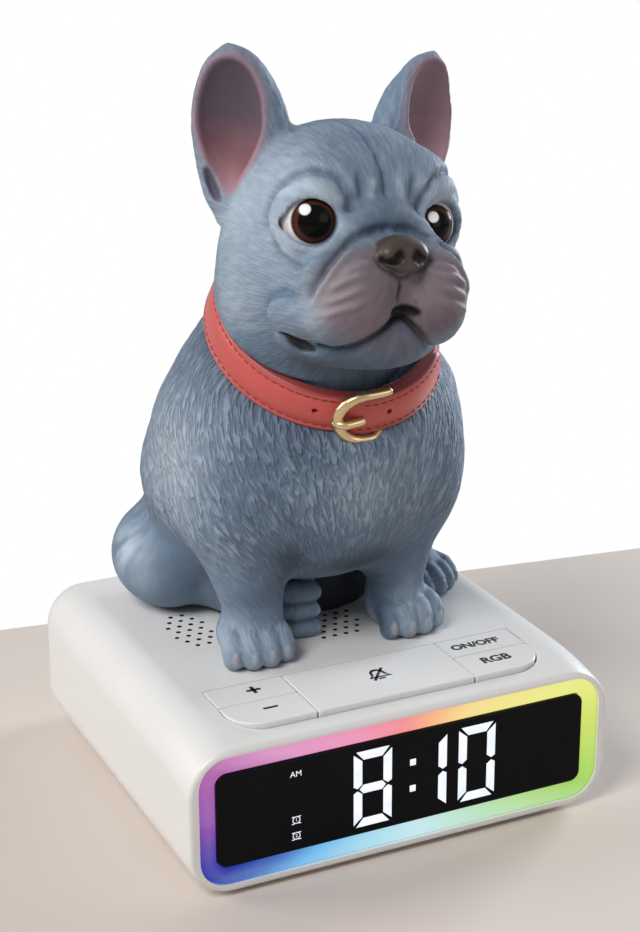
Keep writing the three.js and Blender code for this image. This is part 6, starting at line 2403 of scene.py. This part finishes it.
@dataclass
class Collar:
    """The leather strap with its stitching, and the buckle on it."""

    neck: Neckline = Neckline()
    width: float = 10.0
    thickness: float = 3.0
    stitch_inset: float = 1.5
    stitch_length: float = 1.5
    stitches: int = 84
    hole_radius: float = 0.75
    hole_places: Pair = (-14.2, 2.9)
    flare: float = 2.0
    buckle_x: float = -4.4
    buckle_width: float = 14.0
    buckle_height: float = 15.6
    end_start: float = -108.0
    end_tip: float = -37.0
    end_thickness: float = 0.8
    wire: float = 1.3

    def place(self) -> Matrix:
        """Gives the place of the collar in the clock's frame, in metres."""
        roll, tilt = math.radians(self.neck.roll), math.radians(self.neck.tilt)
        turn = Matrix.Rotation(roll, 4, "Y") @ Matrix.Rotation(tilt, 4, "X")
        return Matrix.Translation(Vector((*self.neck.at[:2], self.neck.at[2] + CASE_TOP)) * MM) @ turn

    def put(self, obj: Object) -> Object:
        """Moves a piece from the collar's own frame to its place."""
        obj.data.transform(self.place())
        return obj

    def on_strap(self, angle: float, out: float, up: float) -> Array:
        """Gives a point of the strap by its angle from the right side, its distance out and its height."""
        out -= self.flare * up / self.width
        across, ahead = self.neck.radius_x + out, self.neck.radius_y + out
        return np.array((across * math.cos(angle), ahead * math.sin(angle), up))

    def section(self) -> list[Pair]:
        """Gives the strap's section as distances out and up, with a groove for the stitches."""
        t, w, e = self.thickness / 2, self.width / 2, 0.7
        face = [(t - e, -w), (t - 0.2, -w + 0.25), (t, -w + e)]
        groove = w - self.stitch_inset
        face += [(t, -groove - 0.45), (t - 0.28, -groove), (t, -groove + 0.45), (t + 0.12, -w * 0.3), (t + 0.15, 0.0)]
        mirrored = [(out, -up) for out, up in reversed(face[:-1])]
        back = [(-t + e, w), (-t, w - e), (-t, 0.0), (-t, -w + e), (-t + e, -w)]
        return [*face, *mirrored, *back]

    def strap(self, finishes: Finishes) -> None:
        """Makes the strap with its holes."""
        steps = 160
        rings = []
        for i in range(steps):
            angle = i / steps * 2 * math.pi
            rings.append(np.array([self.on_strap(angle, out, up) for out, up in self.section()]))
        strap = loft("collar_strap_leather", rings, closed=True)
        cut_away(strap, [self.hole(x) for x in self.hole_places])
        settle(self.finished(strap, finishes), Body.BASE, ["collar_strap"])

    def hole(self, x: float) -> Object:
        """Makes the tool that punches one hole."""
        hole = cylinder("strap_hole", self.hole_radius, 0, 12, (0, 0, 0), 16)
        hole.data.transform(Matrix.Translation(Vector((x, -34, 0.3)) * MM) @ Matrix.Rotation(-math.pi / 2, 4, "X"))
        return hole

    def finished(self, piece: Object, finishes: Finishes) -> Object:
        """Darkens a strap piece's cut edges, smooths it, colours it and puts it in its place."""
        flat = np.zeros(len(piece.data.vertices) * 3)
        piece.data.vertices.foreach_get("co", flat)
        local = flat.reshape(-1, 3) / MM
        store(piece, "edge", rise(np.abs(local[:, 2]), self.width / 2 - 0.55, self.width / 2 - 0.2))
        piece.data.shade_smooth()
        piece.data.set_sharp_from_angle(angle=math.radians(50))
        return dress(self.put(piece), finishes.leather)

    def end_width(self, angle: float) -> float:
        """Gives half the width of the strap's free end at an angle; its tip is round."""
        left = (math.radians(self.end_tip) - angle) * (self.neck.radius_x + 2)
        share = min(max(1 - left / (self.width * 0.45), 0.0), 1.0)
        return (self.width / 2 - 0.1) * math.sqrt(max(1 - share * share, 0.0))

    def free_end(self, finishes: Finishes) -> None:
        """Makes the free end, which comes out of the buckle and lies on the strap."""
        first, last = math.radians(self.end_start), math.radians(self.end_tip)
        rings = []
        for share in 1 - (1 - np.linspace(0, 1, 64)) ** 1.7:
            angle = first + (last - first) * float(share)
            w = max(self.end_width(angle), 0.06)
            base, soft = self.thickness / 2 - 0.6, min(0.4, w * 0.4)
            top = self.thickness / 2 + self.end_thickness * min(float(share) * 9, 1.0)
            outline = [(base, -w), (top - 0.35, -w), (top, -w + soft), (top + 0.1, 0.0),
                       (top, w - soft), (top - 0.35, w), (base, w)]
            rings.append(np.array([self.on_strap(angle, out, up) for out, up in outline]))
        end = loft("collar_strap_end", rings)
        cut_away(end, [self.hole(self.hole_places[1])])
        settle(self.finished(end, finishes), Body.BASE)

    def stitching(self, finishes: Finishes) -> None:
        """Makes the rows of stitches along both edges."""
        parts = []
        span = self.stitch_length / self.neck.radius_x / 2
        for row in (-1, 1):
            for i in range(self.stitches):
                angle = (i + 0.5 * (row > 0)) / self.stitches * 2 * math.pi - math.pi
                raised = math.radians(self.end_start + 9) < angle < math.radians(self.end_tip)
                if raised and self.end_width(angle + span) < self.stitch_inset + 0.4:
                    continue
                out = self.thickness / 2 + (self.end_thickness - 0.04 if raised else -0.24)
                line = []
                for share in (-1, -0.6, 0, 0.6, 1):
                    place = angle + span * share
                    half = self.end_width(place) if raised else self.width / 2
                    line.append(self.on_strap(place, out + 0.16 * (1 - share ** 2), row * (half - self.stitch_inset)))
                parts.append(self.thread(np.array(line)))
        stitches = joined("collar_stitches", parts)
        settle(dress(self.put(stitches), finishes.thread), Body.BASE)

    def thread(self, line: Array) -> Object:
        """Makes one stitch along a short line."""
        radii = np.array((0.08, 0.15, 0.17, 0.15, 0.08))
        up = np.array((0.0, 0.0, 1.0))
        rings = []
        for point, way, radius in zip(line, directions(line), radii):
            rings.append(point + radius * circle(6) @ np.array([up, np.cross(way, up)]))
        return loft("stitch", rings)

    def lay(self, obj: Object) -> Object:
        """Moves a piece from the frame of the strap's front, which leans with the strap, to its place."""
        lean = Matrix.Rotation(-math.atan2(self.flare, self.width), 4, "X")
        obj.data.transform(Matrix.Translation(Vector((self.buckle_x, -self.neck.radius_y, 0)) * MM) @ lean)
        return self.put(obj)

    def bow(self, x: Array) -> Array:
        """Gives how far the strap's front has bent back at places along it."""
        return (x + self.buckle_x) ** 2 / (2 * (self.neck.radius_x + 2))

    def horseshoe(self, finishes: Finishes) -> None:
        """Makes the buckle's frame, whose lower arm is tucked behind the strap."""
        half = self.buckle_height / 2 - self.wire
        end = self.buckle_width / 2
        round_at = -end + self.wire + half
        angles = np.linspace(math.pi / 2, math.pi * 1.5, 41)
        bend = [(round_at + half * math.cos(angle), half * math.sin(angle)) for angle in angles]
        arm = np.linspace(end, round_at, 14)[:-1]
        x, z = np.array([*((x, half) for x in arm), *bend, *((x, -half) for x in arm[::-1])]).T
        share = np.linspace(-1, 1, len(x))
        tuck = rise(share, 0.72, 1.0) ** 2
        front = -(self.thickness / 2 + self.wire)
        line = np.column_stack([x, front + self.bow(x) + 3.4 * tuck, z + 1.2 * tuck])
        radii = 1.4 - 0.5 * np.abs(share) ** 1.5
        radii[[0, -1]] = 0.35
        loop = sweep("buckle_horseshoe", line, radii, 18)
        settle(dress(self.lay(loop), finishes.brass), Body.BASE, ["buckle_frame"])

    def tongue(self, finishes: Finishes) -> None:
        """Makes the buckle's prong, which is hooked round the frame."""
        left, right, hook, lift = -self.buckle_width / 2 + 0.2, 1.0, 2.4, -1.5
        x = np.linspace(left, right, 28)
        hooked = lift * np.sin((x - left) / hook * math.pi / 2)
        straight = lift - lift * (x - left - hook) / (right - left - hook)
        front = -(self.thickness / 2 + self.wire) + 0.2
        y = front + self.bow(x) + np.where(x < left + hook, hooked, straight)
        radii = np.full(len(x), 1.1)
        radii[:3] = (0.5, 0.9, 1.05)
        radii[-3:] = (1.0, 0.75, 0.25)
        prong = sweep("buckle_tongue", np.column_stack([x, y, np.full(len(x), -0.8)]), radii, 16)
        settle(dress(self.lay(prong), finishes.brass), Body.BASE, ["buckle_prong"])

    def build(self, finishes: Finishes) -> None:
        """Makes the whole collar."""
        self.strap(finishes)
        self.free_end(finishes)
        self.stitching(finishes)
        self.horseshoe(finishes)
        self.tongue(finishes)


@dataclass
class Studio:
    """Floor, lamps, world and camera."""

    camera_at: Triple = (-0.19665, -0.42054, 0.24819)
    yaw: float = 25.4428
    pitch: float = 19.7783
    roll: float = -0.2603
    focal_pixels: float = 1963.02
    image_height: float = 932.0
    sensor: float = 36.0
    aim: Triple = (0.0, 0.0, 0.09)
    floor_edge: tuple[Pair, ...] = ((-0.0508, 0.1128), (0.1609, 0.0824))

    def camera(self) -> None:
        """Puts the camera where the photograph was taken."""
        yaw, pitch, roll = (math.radians(angle) for angle in (self.yaw, self.pitch, self.roll))
        ahead = Vector((math.sin(yaw) * math.cos(pitch), math.cos(yaw) * math.cos(pitch), -math.sin(pitch)))
        level = Vector((math.cos(yaw), -math.sin(yaw), 0.0))
        upright = level.cross(ahead)
        right = math.cos(roll) * level + math.sin(roll) * upright
        up = -math.sin(roll) * level + math.cos(roll) * upright
        data = bpy.data.cameras.new("camera")
        data.sensor_width = self.sensor
        data.lens = self.focal_pixels / self.image_height * self.sensor
        data.clip_start = 0.01
        camera = add_object("camera", data)
        camera.matrix_world = Matrix((right, up, -ahead)).transposed().to_4x4()
        camera.location = self.camera_at
        bpy.context.scene.camera = camera

    def floor(self) -> None:
        """Lays a plain pale floor that ends behind the clock."""
        (x0, y0), (x1, y1) = self.floor_edge
        along = Vector((x1 - x0, y1 - y0, 0)).normalized()
        toward = Vector((along.y, -along.x, 0))
        middle = Vector(((x0 + x1) / 2, (y0 + y1) / 2, 0))
        corners = [middle + along * a + toward * b for a, b in ((-3, 0), (3, 0), (3, 3), (-3, 3))]
        floor = new_object("floor", np.array(corners) / MM, [(0, 1, 2, 3)])
        dress(floor, Plastic("pale_floor", (0.70, 0.62, 0.56), 0.7, grain=300.0, shade=0.02).make())

    def lamp(self, name: str, at: Point, size: float, power: float, colour: Point = WHITE) -> None:
        """Hangs a soft lamp that looks at the clock."""
        data = bpy.data.lights.new(name, "AREA")
        data.size = size
        data.energy = power
        data.color = colour
        lamp = add_object(name, data)
        lamp.location = at
        lamp.rotation_euler = (Vector(self.aim) - Vector(at)).to_track_quat("-Z", "Y").to_euler()

    def world(self) -> None:
        """Makes the world white to the eye and softer as a light."""
        world = bpy.data.worlds.new("studio")
        bpy.context.scene.world = world
        world.use_nodes = True
        nodes = Nodes(world.node_tree)
        back = next(node for node in world.node_tree.nodes if node.type == "BACKGROUND")
        path = nodes.add("LightPath")
        seen = nodes.math("MAXIMUM", path.outputs["Is Camera Ray"], path.outputs["Is Transmission Ray"])
        seen = nodes.math("MAXIMUM", seen, nodes.product(path.outputs["Is Glossy Ray"], 0.35))
        nodes.feed(back, {"Color": rgba(WHITE), "Strength": nodes.range(seen, 0.0, 1.0, 0.15, 1.0)})

    def build(self) -> None:
        """Makes the whole studio."""
        bpy.context.scene.view_settings.view_transform = "Standard"
        self.camera()
        self.floor()
        self.world()
        self.lamp("key", (-0.72, -0.42, 0.95), 0.5, 9.2)
        self.lamp("side", (-0.935, 0.385, 0.53), 0.4, 4.2)
        self.lamp("fill", (0.45, -0.8, 0.35), 0.5, 0.9, (0.95, 0.97, 1.0))
        self.lamp("back", (0.75, 0.25, 0.27), 0.3, 5.5, (0.84, 0.92, 1.0))


def main() -> None:
    """Builds the clock piece by piece."""
    logging.basicConfig(level=logging.INFO, format="%(name)s: %(message)s")
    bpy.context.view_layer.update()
    finishes = Finishes()
    Studio().build()
    front, keys = Front(), KeyPad()
    Housing().build(finishes, front, keys)
    front.build(finishes)
    keys.build(finishes)
    Underside().build(finishes)
    Inside().build(finishes)
    Dog().build(finishes)
    Collar().build(finishes)


if __name__ == "__main__":
    main()
